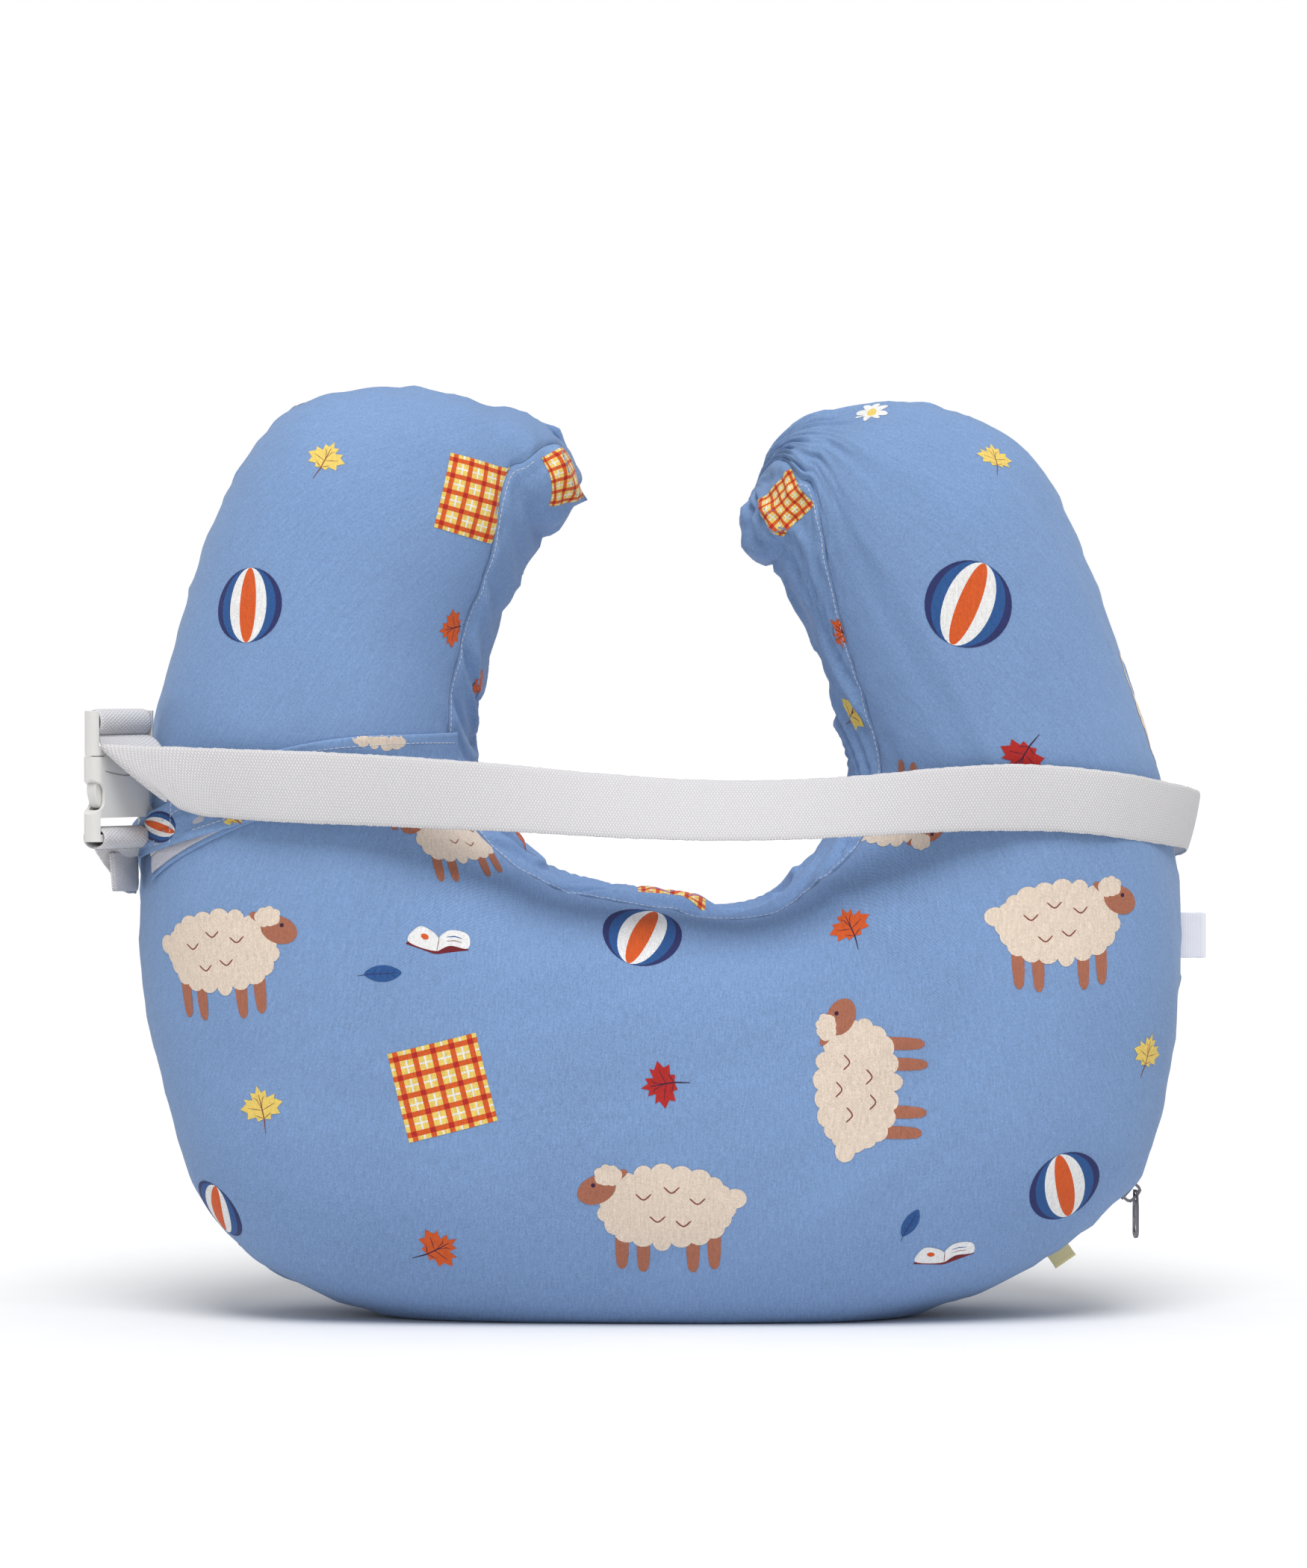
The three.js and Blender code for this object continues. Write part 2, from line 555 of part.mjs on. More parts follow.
function makePlug() {
  const { wall, top, body, bar, barDepth, tongue } = PLUG;
  const outer = BUCKLE.width / 2;
  const depth = BUCKLE.depth - 1.5;
  const inner = outer - wall;
  let solid = roundedPrism(BUCKLE.width, depth, 3.2, body[0], top);
  solid = solid.subtract(block([-inner, inner], [-depth, depth], [body[1], top + 1]));
  solid = solid.add(block([-inner - 1, inner + 1], [-barDepth / 2, barDepth / 2], bar));
  solid = solid.add(block([-5, 5], [-2.8, 2.8], [body[0] - tongue, body[0] + 1]));
  addMesh('buckle_plug', toGeometry(solid), 'buckle', buckleHolder);
}

// A latch arm hangs from the plug beside the tongue and ends in a head that fills the notch.
function makeLatch(name, side) {
  const { root, head, tip, inner, thickness, low, rootHeight } = LATCH;
  const shape = new THREE.Shape([
    [root, rootHeight], [root + 3.6, rootHeight], [SOCKET.cavity / 2 - 0.9, SOCKET.notch[1] - 0.6],
    [head, SOCKET.notch[1] - 0.8], [head, 27], [tip, low], [inner + 1.5, low], [root - 0.4, 27],
  ].map(([x, z]) => new THREE.Vector2(side * x, z)));
  const geometry = new THREE.ExtrudeGeometry(shape, { depth: thickness, bevelEnabled: false });
  geometry.translate(0, 0, -thickness / 2);
  geometry.rotateX(Math.PI / 2);
  addMesh(name, geometry, 'buckle', buckleHolder);
}

// A ring of webbing round one of the buckle's bars, given by the height of its centre and by
// the half depth and half height of its middle line.
function webRing(height, halfDepth, halfHeight) {
  const oval = (grow) => new THREE.Shape().absellipse(
    height, 0, halfHeight + grow, halfDepth + grow, 0, 2 * Math.PI);
  const ring = oval(WEB.thickness / 2);
  ring.holes.push(oval(-WEB.thickness / 2));
  const options = { depth: WEB.width, bevelEnabled: false, curveSegments: 20 };
  const geometry = new THREE.ExtrudeGeometry(ring, options);
  geometry.translate(0, 0, -WEB.width / 2);
  geometry.rotateY(-Math.PI / 2);
  buckleHolder.updateMatrix();
  return toSolid(geometry.applyMatrix4(buckleHolder.matrix));
}

// A point given in the buckle's frame, in the frame of the pillow.
const fromBuckle = (x, y, z) => v3(x, y, z).applyMatrix4(buckleHolder.matrix);

// The strap between the diagonal fold and the ring round the plug's bar.
function makeStrapTurn() {
  const ring = webRing(...STRAP_RING);
  const [foldHigh, foldLow] = STRAP_RUN[0].map(([x, y, z]) => v3(x, y + WEB.thickness + 2.2, z));
  const under = STRAP_RING[0] - STRAP_RING[2];
  const half = WEB.width / 2 - 0.2;
  const rows = [
    [foldHigh, foldLow],
    [fromBuckle(-half, -4.4, under - 4.5), v3(-262, -73, 283)],
    [fromBuckle(-half, -3.2, under - 2), fromBuckle(half - 2, -24, under - 12)],
    [fromBuckle(-half, -0.8, under), fromBuckle(half, -0.8, under)],
  ];
  addMesh('strap_turn', toGeometry(ring.add(toSolid(webbing(rows)))), 'webbing');
}

// The tether leaves the ring round the socket's lower bar and is sewn to the pillow's edge,
// where its doubled end hangs down.
function makeTether() {
  const ring = webRing(...TETHER_RING);
  const under = TETHER_RING[0] - TETHER_RING[2];
  const half = WEB.width / 2 - 0.2;
  const strip = [
    [fromBuckle(-half, 0, under), fromBuckle(half, 0, under)],
    [v3(-301, -60, 243), v3(-281, -33, 245)],
    [v3(-296, -42, 236), v3(-282.5, -22, 250)],
    [v3(-289, -22, 229), v3(-283.5, -11, 257)],
    [v3(-282.6, -3, 226), v3(-281.4, -3, 262)],
  ];
  const tail = [
    [v3(-296, -59, 246), v3(-283, -24, 246)],
    [v3(-295, -60, 235), v3(-282.5, -25, 235)],
    [v3(-294, -60, 224), v3(-282.5, -26, 224)],
  ];
  const solids = [strip, tail].map((rows) => toSolid(webbing(rows)));
  addMesh('tether_webbing', toGeometry(ring.add(solids[0]).add(solids[1])), 'webbing');
}

// ---------------------------------------------------------------- label and tab

function makeLabelAndTab() {
  const label = new THREE.BoxGeometry(LABEL.length, LABEL.thickness, LABEL.height);
  addMesh('care_label', label, 'label').position.set(LABEL.x + LABEL.length / 2, 0, LABEL.z);
  const tab = new THREE.BoxGeometry(TAB.width, TAB.thickness, TAB.length);
  const [x, z] = onZipArc(TAB.angle);
  const turn = THREE.MathUtils.degToRad(TAB.angle);
  const out = TAB.length / 2 + TAB.lift;
  const mesh = addMesh('corner_tab', tab, 'ribbon');
  mesh.position.set(x + out * Math.cos(turn), TAB.y, z + out * Math.sin(turn));
  mesh.rotation.y = THREE.MathUtils.degToRad(90) - turn;
}

makeCover();
makeLiner();
makeFilling();
makeZip();
makeArmBand();
makeStrap();
makeSocket();
makePlug();
makeLatch('latch_arm_left', -1);
makeLatch('latch_arm_right', 1);
makeStrapTurn();
makeTether();
makeLabelAndTab();

export default group;
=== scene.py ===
"""Nursing pillow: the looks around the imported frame. Metres, +Z up, the front faces -Y."""
import json
import math

import bmesh
import bpy
import numpy as np
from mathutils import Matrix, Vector
from mathutils.bvhtree import BVHTree
from mathutils.geometry import delaunay_2d_cdt

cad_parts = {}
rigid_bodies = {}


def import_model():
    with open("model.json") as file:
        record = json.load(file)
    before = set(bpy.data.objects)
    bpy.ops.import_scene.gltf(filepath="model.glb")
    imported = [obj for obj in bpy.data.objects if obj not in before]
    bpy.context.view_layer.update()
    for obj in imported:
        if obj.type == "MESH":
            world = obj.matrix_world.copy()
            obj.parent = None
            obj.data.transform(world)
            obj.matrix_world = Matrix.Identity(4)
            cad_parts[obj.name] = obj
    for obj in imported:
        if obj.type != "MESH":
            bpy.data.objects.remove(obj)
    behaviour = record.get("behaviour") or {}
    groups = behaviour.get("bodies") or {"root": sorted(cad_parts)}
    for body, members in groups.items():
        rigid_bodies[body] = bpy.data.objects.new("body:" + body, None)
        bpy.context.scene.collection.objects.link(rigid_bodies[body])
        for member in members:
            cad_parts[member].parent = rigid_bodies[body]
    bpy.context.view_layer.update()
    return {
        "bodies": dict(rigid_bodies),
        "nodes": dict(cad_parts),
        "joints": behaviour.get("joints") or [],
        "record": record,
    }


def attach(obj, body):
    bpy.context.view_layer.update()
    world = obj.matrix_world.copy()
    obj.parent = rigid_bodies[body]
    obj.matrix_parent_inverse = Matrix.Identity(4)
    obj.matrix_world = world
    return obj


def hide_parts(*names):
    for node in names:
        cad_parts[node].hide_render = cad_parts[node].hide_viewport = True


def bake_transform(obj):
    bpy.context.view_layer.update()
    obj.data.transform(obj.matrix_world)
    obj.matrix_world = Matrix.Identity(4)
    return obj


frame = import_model()

MM = 0.001
FOOT = np.array([-10.06, -3.91, 0.0])  # the row frame's origin in pillow millimetres


def row(points):
    """Pillow millimetres to row metres."""
    return (np.asarray(points, float) - FOOT) * MM


CAMERA_DISTANCE = 3.3
CAMERA_RISE = math.radians(1.2)
FRAME_WIDTH = 0.700  # of what the camera sees at the pillow's middle plane
FRAME_MIDDLE = np.array([-5.6, 285.0])  # x and z of what the camera aims at, in pillow mm
FRAME_CENTRE = row((FRAME_MIDDLE[0], 0.0, FRAME_MIDDLE[1]))
VIEW_UP = np.array([0, math.sin(CAMERA_RISE), math.cos(CAMERA_RISE)])
VIEW_AHEAD = np.array([0, math.cos(CAMERA_RISE), -math.sin(CAMERA_RISE)])


def seen(points):
    """Where row points stand on the pillow's middle plane as the camera sees them, in mm."""
    offset = np.asarray(points, float) - FRAME_CENTRE
    shrink = CAMERA_DISTANCE / (CAMERA_DISTANCE + offset @ VIEW_AHEAD)
    return np.stack([offset[..., 0] * shrink, (offset @ VIEW_UP) * shrink], -1) / MM + FRAME_MIDDLE


def at_depth(points):
    """Pillow points whose x and z are as seen, and whose y is real, put where they really are."""
    points = np.array(points, float)
    grow = 1 + points[..., 1] * MM / CAMERA_DISTANCE
    points[..., 0] = FRAME_MIDDLE[0] + (points[..., 0] - FRAME_MIDDLE[0]) * grow
    drop = points[..., 1] * math.tan(CAMERA_RISE)
    points[..., 2] = FRAME_MIDDLE[1] + (points[..., 2] - FRAME_MIDDLE[1]) * grow - drop
    return points


# ---------------------------------------------------------------- the pillow's dimensions, mm

# Outer edge x and z, inner edge x and z, half thickness, and the gusset seam's angle round
# the section: 0 is the outer seam and 180 the middle of the gusset.
ZIP_ARC = (94.7, 203.9, 205.0)  # x, z and radius


def on_zip_arc(degrees):
    """The x and z of a point on the zip's arc."""
    angle = math.radians(degrees)
    return ZIP_ARC[0] + ZIP_ARC[2] * math.cos(angle), ZIP_ARC[1] + ZIP_ARC[2] * math.sin(angle)


SECTIONS = np.array([
    (-91, 486, -67, 419, 50, 88), (-118, 494, -76, 398, 63, 120), (-157, 498, -87, 372, 70, 137),
    (-202, 486, -95, 349, 77, 145), (-237, 437, -101, 320, 81, 147), (-261, 362, -99, 293, 82, 147),
    (-277, 285, -92, 275, 83, 147), (-281, 205, -81, 259, 85, 151), (-267, 121, -68, 245, 87, 157),
    (-242, 50, -51, 235, 88, 162), (-182, 9, -31, 230, 88, 164), (-95, -8, -13, 227, 88, 164),
    (0, -12, 4, 225, 88, 164), (92, -8, 19, 221, 88, 164),
    (*on_zip_arc(-75), 36, 219, 88, 164), (*on_zip_arc(-63), 50, 221, 88, 163),
    (*on_zip_arc(-51), 62, 227, 88, 161), (*on_zip_arc(-43), 69, 233, 87, 159),
    (*on_zip_arc(-37), 74, 239, 87, 157),
    (273, 142, 83, 248, 86, 153), (278, 205, 93, 263, 84, 149), (270, 272, 100, 282, 83, 147),
    (250, 338, 99, 304, 82, 147), (226, 403, 92, 327, 81, 147), (196, 462, 85, 350, 77, 145),
    (160, 484, 79, 367, 70, 137), (122, 491, 70, 385, 63, 120), (91, 483, 60, 404, 50, 88),
], float)
TIPS = np.array([(-47.0, 456.0), (49.0, 445.0)])
TIP_SEAM = 40.0
OUTER_POWER = 0.9  # 1 is an ellipse and less is blunter, on a section's outer side
INNER_POWER = ((92, 118), (1.0, 0.72))  # the same on its inner side, by half widths in mm
LAST = len(SECTIONS) - 1

ROW_STEP = 5.0
PANEL_COLUMNS, GUSSET_COLUMNS = 44, 32
CAP_ROWS = 9
CAP_POWER = 2.05  # 2 is a round end, more is blunter
ZIP_SPAN = (9.2, 17.8)  # sections between which the zip is, before the closed ends
ZIP_OPENING = 2.6
SEAM_GAP = 0.06


# ---------------------------------------------------------------- numbers

def catmull(values, t):
    """Uniform Catmull-Rom through the rows of values, at positions t counted in rows."""
    values = np.asarray(values, float)
    padded = np.vstack([2 * values[0] - values[1], values, 2 * values[-1] - values[-2]])
    i = np.clip(np.floor(t).astype(int), 0, len(values) - 2)
    f = (t - i)[:, None]
    a, b, c, d = (padded[i + k] for k in range(4))
    return 0.5 * (2 * b + (c - a) * f + (2 * a - 5 * b + 4 * c - d) * f**2
                  + (3 * b - a - 3 * c + d) * f**3)


def gaussian(values, sigma):
    """Smooths along the first axis and keeps the ends where they are."""
    reach = int(3 * sigma) + 1
    kernel = np.exp(-0.5 * (np.arange(-reach, reach + 1) / sigma) ** 2)
    kernel /= kernel.sum()
    head = 2 * values[0] - values[reach:0:-1]
    tail = 2 * values[-1] - values[-2:-reach - 2:-1]
    long = np.vstack([head, values, tail])
    return np.stack([np.convolve(column, kernel, "valid") for column in long.T], axis=1)


def noise1(x, wavelength, seed):
    """Smooth noise from -1 to 1 along one axis."""
    rng = np.random.default_rng(seed)
    knots = rng.uniform(-1, 1, 4096)
    p = np.asarray(x, float) / wavelength + 1000.0
    i = np.floor(p).astype(int)
    f = p - i
    f = f * f * (3 - 2 * f)
    return knots[i % 4096] * (1 - f) + knots[(i + 1) % 4096] * f


def noise2(x, y, wavelength, seed):
    """Smooth noise from -1 to 1 over a plane."""
    knots = np.random.default_rng(seed).uniform(-1, 1, (256, 256))
    p, q = np.asarray(x) / wavelength + 500.0, np.asarray(y) / wavelength + 500.0
    i, j = np.floor(p).astype(int), np.floor(q).astype(int)
    f, g = p - i, q - j
    f, g = f * f * (3 - 2 * f), g * g * (3 - 2 * g)

    def at(a, b):
        return knots[(i + a) % 256, (j + b) % 256]

    return (at(0, 0) * (1 - f) + at(1, 0) * f) * (1 - g) + (at(0, 1) * (1 - f) + at(1, 1) * f) * g


def smoothstep(x, low, high):
    """A smooth rise from 0 at low to 1 at high."""
    s = np.clip((np.asarray(x, float) - low) / (high - low), 0, 1)
    return s * s * (3 - 2 * s)


def unit(vectors):
    """The vectors at length 1."""
    return vectors / np.maximum(np.linalg.norm(vectors, axis=-1, keepdims=True), 1e-12)


def run_of(points, axis=0):
    """How far along a line, or along one axis of a grid, each point is."""
    steps = np.linalg.norm(np.diff(points, axis=axis), axis=-1)
    start = np.zeros_like(np.take(steps, [0], axis))
    return np.concatenate([start, np.cumsum(steps, axis)], axis)


# ---------------------------------------------------------------- meshes

def mesh_object(name, points, faces, materials, uv=None, face_material=None, smooth=True):
    """An object from row-frame points in metres; uv has one pair for each face corner."""
    mesh = bpy.data.meshes.new(name)
    mesh.from_pydata([tuple(p) for p in points], [], [tuple(f) for f in faces])
    for material in materials:
        mesh.materials.append(material)
    if uv is not None:
        layer = mesh.uv_layers.new(name="cloth")
        layer.data.foreach_set("uv", np.asarray(uv, np.float32).ravel())
    if face_material is not None:
        mesh.polygons.foreach_set("material_index", np.asarray(face_material, np.int32))
    mesh.polygons.foreach_set("use_smooth", np.full(len(mesh.polygons), smooth))
    mesh.update()
    obj = bpy.data.objects.new(name, mesh)
    bpy.context.collection.objects.link(obj)
    return obj


def grid_faces(rows, columns, closed=False):
    """Quads of a grid, and the grid index of each corner's uv where a closed grid has one
    uv column more than it has point columns."""
    i, j = np.meshgrid(np.arange(rows - 1), np.arange(columns if closed else columns - 1), indexing="ij")
    i, j = i.ravel(), j.ravel()
    k = (j + 1) % columns
    faces = np.stack([i * columns + j, (i + 1) * columns + j, (i + 1) * columns + k, i * columns + k], 1)
    wide = columns + 1 if closed else columns
    corners = np.stack([i * wide + j, (i + 1) * wide + j, (i + 1) * wide + j + 1, i * wide + j + 1], 1)
    return faces, corners


def sheet_object(name, grid, uv_grid, materials):
    """An open sheet from a grid of points; its faces look along the grid's row x column."""
    rows, columns = grid.shape[:2]
    faces, corners = grid_faces(rows, columns)
    uv = uv_grid.reshape(-1, 2)[corners.ravel()]
    return mesh_object(name, grid.reshape(-1, 3), faces, materials, uv)


def tube_object(name, rings, uv_grid, materials):
    """A closed body from rings of points, with a flat cap at each end."""
    count, size = rings.shape[:2]
    faces, corners = grid_faces(count, size, closed=True)
    uv = list(uv_grid.reshape(-1, 2)[corners.ravel()])
    faces = [tuple(f) for f in faces]
    faces.append(tuple(range(size)))
    faces.append(tuple(range(count * size - 1, (count - 1) * size - 1, -1)))
    uv += [uv_grid[0, 0]] * size + [uv_grid[-1, 0]] * size
    obj = mesh_object(name, rings.reshape(-1, 3), faces, materials, uv)
    return fix_normals(obj)


def fix_normals(obj):
    """Turns the faces of a closed body outwards."""
    work = bmesh.new()
    work.from_mesh(obj.data)
    bmesh.ops.recalc_face_normals(work, faces=work.faces)
    work.to_mesh(obj.data)
    work.free()
    return obj


def normals_of(grid):
    """Unit normals of an open grid."""
    along = np.gradient(grid, axis=0)
    across = np.gradient(grid, axis=1)
    return unit(np.cross(along, across))


# ---------------------------------------------------------------- materials

def srgb(red, green, blue):
    """A colour from its display values, 0 to 255."""
    channels = [c / 255 for c in (red, green, blue)]
    return tuple(c / 12.92 if c <= 0.04045 else ((c + 0.055) / 1.055) ** 2.4 for c in channels) + (1.0,)


def scaled(colour, factor):
    """A colour made darker or lighter."""
    return tuple(min(1.0, c * factor) for c in colour[:3]) + (1.0,)


class Surface:
    """A node material that is built up call by call."""

    def __init__(self, name):
        self.material = bpy.data.materials.new(name)
        self.material.use_nodes = True
        self.tree = self.material.node_tree
        self.shader = self.tree.nodes["Principled BSDF"]
        coordinates = self.add("ShaderNodeTexCoord")
        self.uv, self.place = coordinates.outputs["UV"], coordinates.outputs["Object"]

    def add(self, kind, **settings):
        node = self.tree.nodes.new(kind)
        for key, value in settings.items():
            setattr(node, key, value)
        return node

    def feed(self, socket, value):
        if isinstance(value, bpy.types.NodeSocket):
            self.tree.links.new(value, socket)
        else:
            socket.default_value = value

    def math(self, operation, a, b=0.0, c=0.0):
        node = self.add("ShaderNodeMath", operation=operation)
        for socket, value in zip(node.inputs, (a, b, c)):
            self.feed(socket, value)
        return node.outputs[0]

    def along(self, direction):
        node = self.add("ShaderNodeVectorMath", operation="DOT_PRODUCT")
        self.feed(node.inputs[0], self.uv)
        node.inputs[1].default_value = direction
        return node.outputs["Value"]

    def wave(self, direction, phase=0.0):
        """A sine of 0 to 1 whose direction is in turns for each metre of uv."""
        turns = self.math("MULTIPLY_ADD", self.along(direction), math.tau, phase)
        return self.math("MULTIPLY_ADD", self.math("SINE", turns), 0.5, 0.5)

    def noise(self, scale, detail=2.0, roughness=0.5, vector=None):
        node = self.add("ShaderNodeTexNoise")
        self.feed(node.inputs["Vector"], vector or self.place)
        node.inputs["Scale"].default_value = scale
        node.inputs["Detail"].default_value = detail
        node.inputs["Roughness"].default_value = roughness
        return node.outputs["Fac"]

    def mix(self, factor, a, b):
        node = self.add("ShaderNodeMix", data_type="RGBA")
        self.feed(node.inputs["Factor"], factor)
        self.feed(node.inputs["A"], a)
        self.feed(node.inputs["B"], b)
        return node.outputs["Result"]

    def spread(self, value, low, high):
        """Maps low to 0 and high to 1, clamped."""
        node = self.add("ShaderNodeMapRange")
        self.feed(node.inputs["Value"], value)
        node.inputs["From Min"].default_value = low
        node.inputs["From Max"].default_value = high
        return node.outputs["Result"]

    def finish(self, colour, roughness, height=None, strength=0.3, distance=0.0004, **sockets):
        self.feed(self.shader.inputs["Base Color"], colour)
        self.feed(self.shader.inputs["Roughness"], roughness)
        for name, value in sockets.items():
            self.shader.inputs[name.replace("_", " ")].default_value = value
        if height is not None:
            bump = self.add("ShaderNodeBump")
            bump.inputs["Strength"].default_value = strength
            bump.inputs["Distance"].default_value = distance
            self.feed(bump.inputs["Height"], height)
            self.tree.links.new(bump.outputs["Normal"], self.shader.inputs["Normal"])
        return self.material


THREAD = 1 / 0.0011  # turns of the cotton's weave for each metre: two threads of 0.55 mm


def cotton(name, colour, heather=0.34):
    """Plain-woven cotton whose threads vary a little in tone, with painted shade of the weave: lighter where
    it stands high and darker where it sinks.
    """
    s = Surface(name)
    warp, weft = s.wave((THREAD, 0, 0)), s.wave((0, THREAD, 0))
    over = s.math("ABSOLUTE", s.math("SUBTRACT", warp, weft))
    stretched = s.add("ShaderNodeMapping")
    s.feed(stretched.inputs["Vector"], s.uv)
    stretched.inputs["Scale"].default_value = (1, 0.12, 1)
    slubs = s.noise(1100, 2, 0.6, stretched.outputs["Vector"])
    grain = s.noise(950, 3, 0.75)
    cloud = s.noise(9, 3, 0.5)
    # The weave term lightens the tone where the weave stands high and darkens it where it sinks: painted
    # shade of the weave. Grain, slubs and cloud are the threads' own random tone.
    tone = s.math("MULTIPLY_ADD", grain, 0.55, s.math("MULTIPLY", slubs, 0.3))
    tone = s.math("ADD", tone, s.math("MULTIPLY_ADD", over, 0.14, s.math("MULTIPLY", cloud, 0.16)))
    shade = s.spread(tone, 0.34, 0.80)
    base = s.mix(shade, scaled(colour, 1 - heather), scaled(colour, 1 + heather))
    height = s.math("MULTIPLY_ADD", over, 0.5, grain)
    return s.finish(base, s.math("MULTIPLY_ADD", grain, 0.12, 0.80), height, 0.35, 0.0003,
                    Sheen_Weight=0.12, Sheen_Roughness=0.45, Specular_IOR_Level=0.25)


def webbing(name, colour, pitch=0.0016):
    """Webbing of a broken twill: small raised floats in slanting rows, with painted shade between the floats.
    """
    s = Surface(name)
    p = 1 / pitch
    first, second = s.wave((p, 0.55 * p, 0)), s.wave((p, -0.55 * p, 0), 1.3)
    floats = s.math("MULTIPLY", first, second)
    grain = s.noise(1900, 2, 0.6)
    height = s.math("MULTIPLY_ADD", grain, 0.25, floats)
    # The colour follows the floats' height: down to 0.70 in the hollows between them, which is painted shade,
    # and a little lighter on their tops.
    shade = s.spread(height, 0.0, 0.9)
    base = s.mix(shade, scaled(colour, 0.70), scaled(colour, 1.08))
    return s.finish(base, 0.62, height, 0.55, 0.0005, Sheen_Weight=0.1, Specular_IOR_Level=0.35)


def napped(name, colour):
    """The loops of a hook-and-loop patch, with painted shade where the loops lie low."""
    s = Surface(name)
    loops = s.noise(1400, 4, 0.75)
    # The loops' noise sets the colour as well as the bump: a random mottle, and painted shade where the loops
    # lie low.
    base = s.mix(s.spread(loops, 0.3, 0.7), scaled(colour, 0.72), scaled(colour, 1.12))
    return s.finish(base, 0.95, loops, 0.9, 0.0009, Sheen_Weight=0.3)


def plastic(name, colour):
    """Moulded acetal with a faint satin grain."""
    s = Surface(name)
    grain, cloud = s.noise(1600, 2, 0.5), s.noise(45, 2, 0.5)
    base = s.mix(cloud, scaled(colour, 0.965), scaled(colour, 1.02))
    rough = s.math("MULTIPLY_ADD", cloud, 0.14, 0.30)
    return s.finish(base, rough, grain, 0.06, 0.0002, Specular_IOR_Level=0.5, Coat_Weight=0.08)


def metal(name, colour):
    """Die-cast and plated, duller in places."""
    s = Surface(name)
    grain, cloud = s.noise(2200, 2, 0.5), s.noise(160, 3, 0.6)
    base = s.mix(cloud, scaled(colour, 0.8), scaled(colour, 1.12))
    rough = s.math("MULTIPLY_ADD", cloud, 0.2, 0.2)
    return s.finish(base, rough, grain, 0.1, 0.0001, Metallic=1.0)


def ribbon(name, colour, pitch=0.0009):
    """Fine ribbon with ribs across it, painted shade between the ribs, and a satin sheen."""
    s = Surface(name)
    ribs = s.wave((1 / pitch, 0, 0))
    grain = s.noise(2400, 2, 0.5)
    # The colour follows the ribs: darker in the troughs between them, which is painted shade, and lighter on
    # their crests.
    base = s.mix(s.spread(s.math("MULTIPLY_ADD", grain, 0.4, ribs), 0.2, 1.1),
                 scaled(colour, 0.86), scaled(colour, 1.04))
    return s.finish(base, 0.42, ribs, 0.25, 0.0002, Sheen_Weight=0.15)


BLUE = srgb(120, 149, 191)
PRINT_COLOURS = {
    "ground": BLUE,
    "cream": srgb(218, 201, 184),
    "brown": srgb(162, 102, 80),
    "yellow": srgb(226, 196, 102),
    "orange": srgb(206, 88, 38),
    "red": srgb(172, 40, 36),
    "maroon": srgb(110, 32, 40),
    "navy": srgb(44, 50, 98),
    "teal": srgb(44, 84, 140),
    "white": srgb(228, 226, 224),
    "line": srgb(128, 74, 66),
    "dark": srgb(62, 30, 56),
}
COTTON = {name: cotton(f"cotton_{name}", colour) for name, colour in PRINT_COLOURS.items()}
LINER_CLOTH = cotton("liner_cloth", srgb(233, 230, 223), 0.06)
FIBRE = napped("fibre_fill", srgb(244, 243, 239))
WEBBING = webbing("strap_webbing", srgb(219, 217, 219))
BUCKLE = plastic("buckle_acetal", srgb(216, 215, 212))
NYLON = plastic("zip_nylon", srgb(240, 239, 236))
ZIP_TAPE = webbing("zip_tape", srgb(236, 235, 233), 0.0008)
ZINC = metal("slider_zinc", srgb(120, 120, 126))
HOOK_LOOP = napped("hook_loop", srgb(200, 201, 214))
LABEL = ribbon("label_satin", srgb(236, 236, 242))
TAB = ribbon("tab_grosgrain", srgb(240, 226, 170))
THREAD_PALE = ribbon("sewing_thread", srgb(214, 216, 226), 0.0005)


# ---------------------------------------------------------------- the pillow's skin

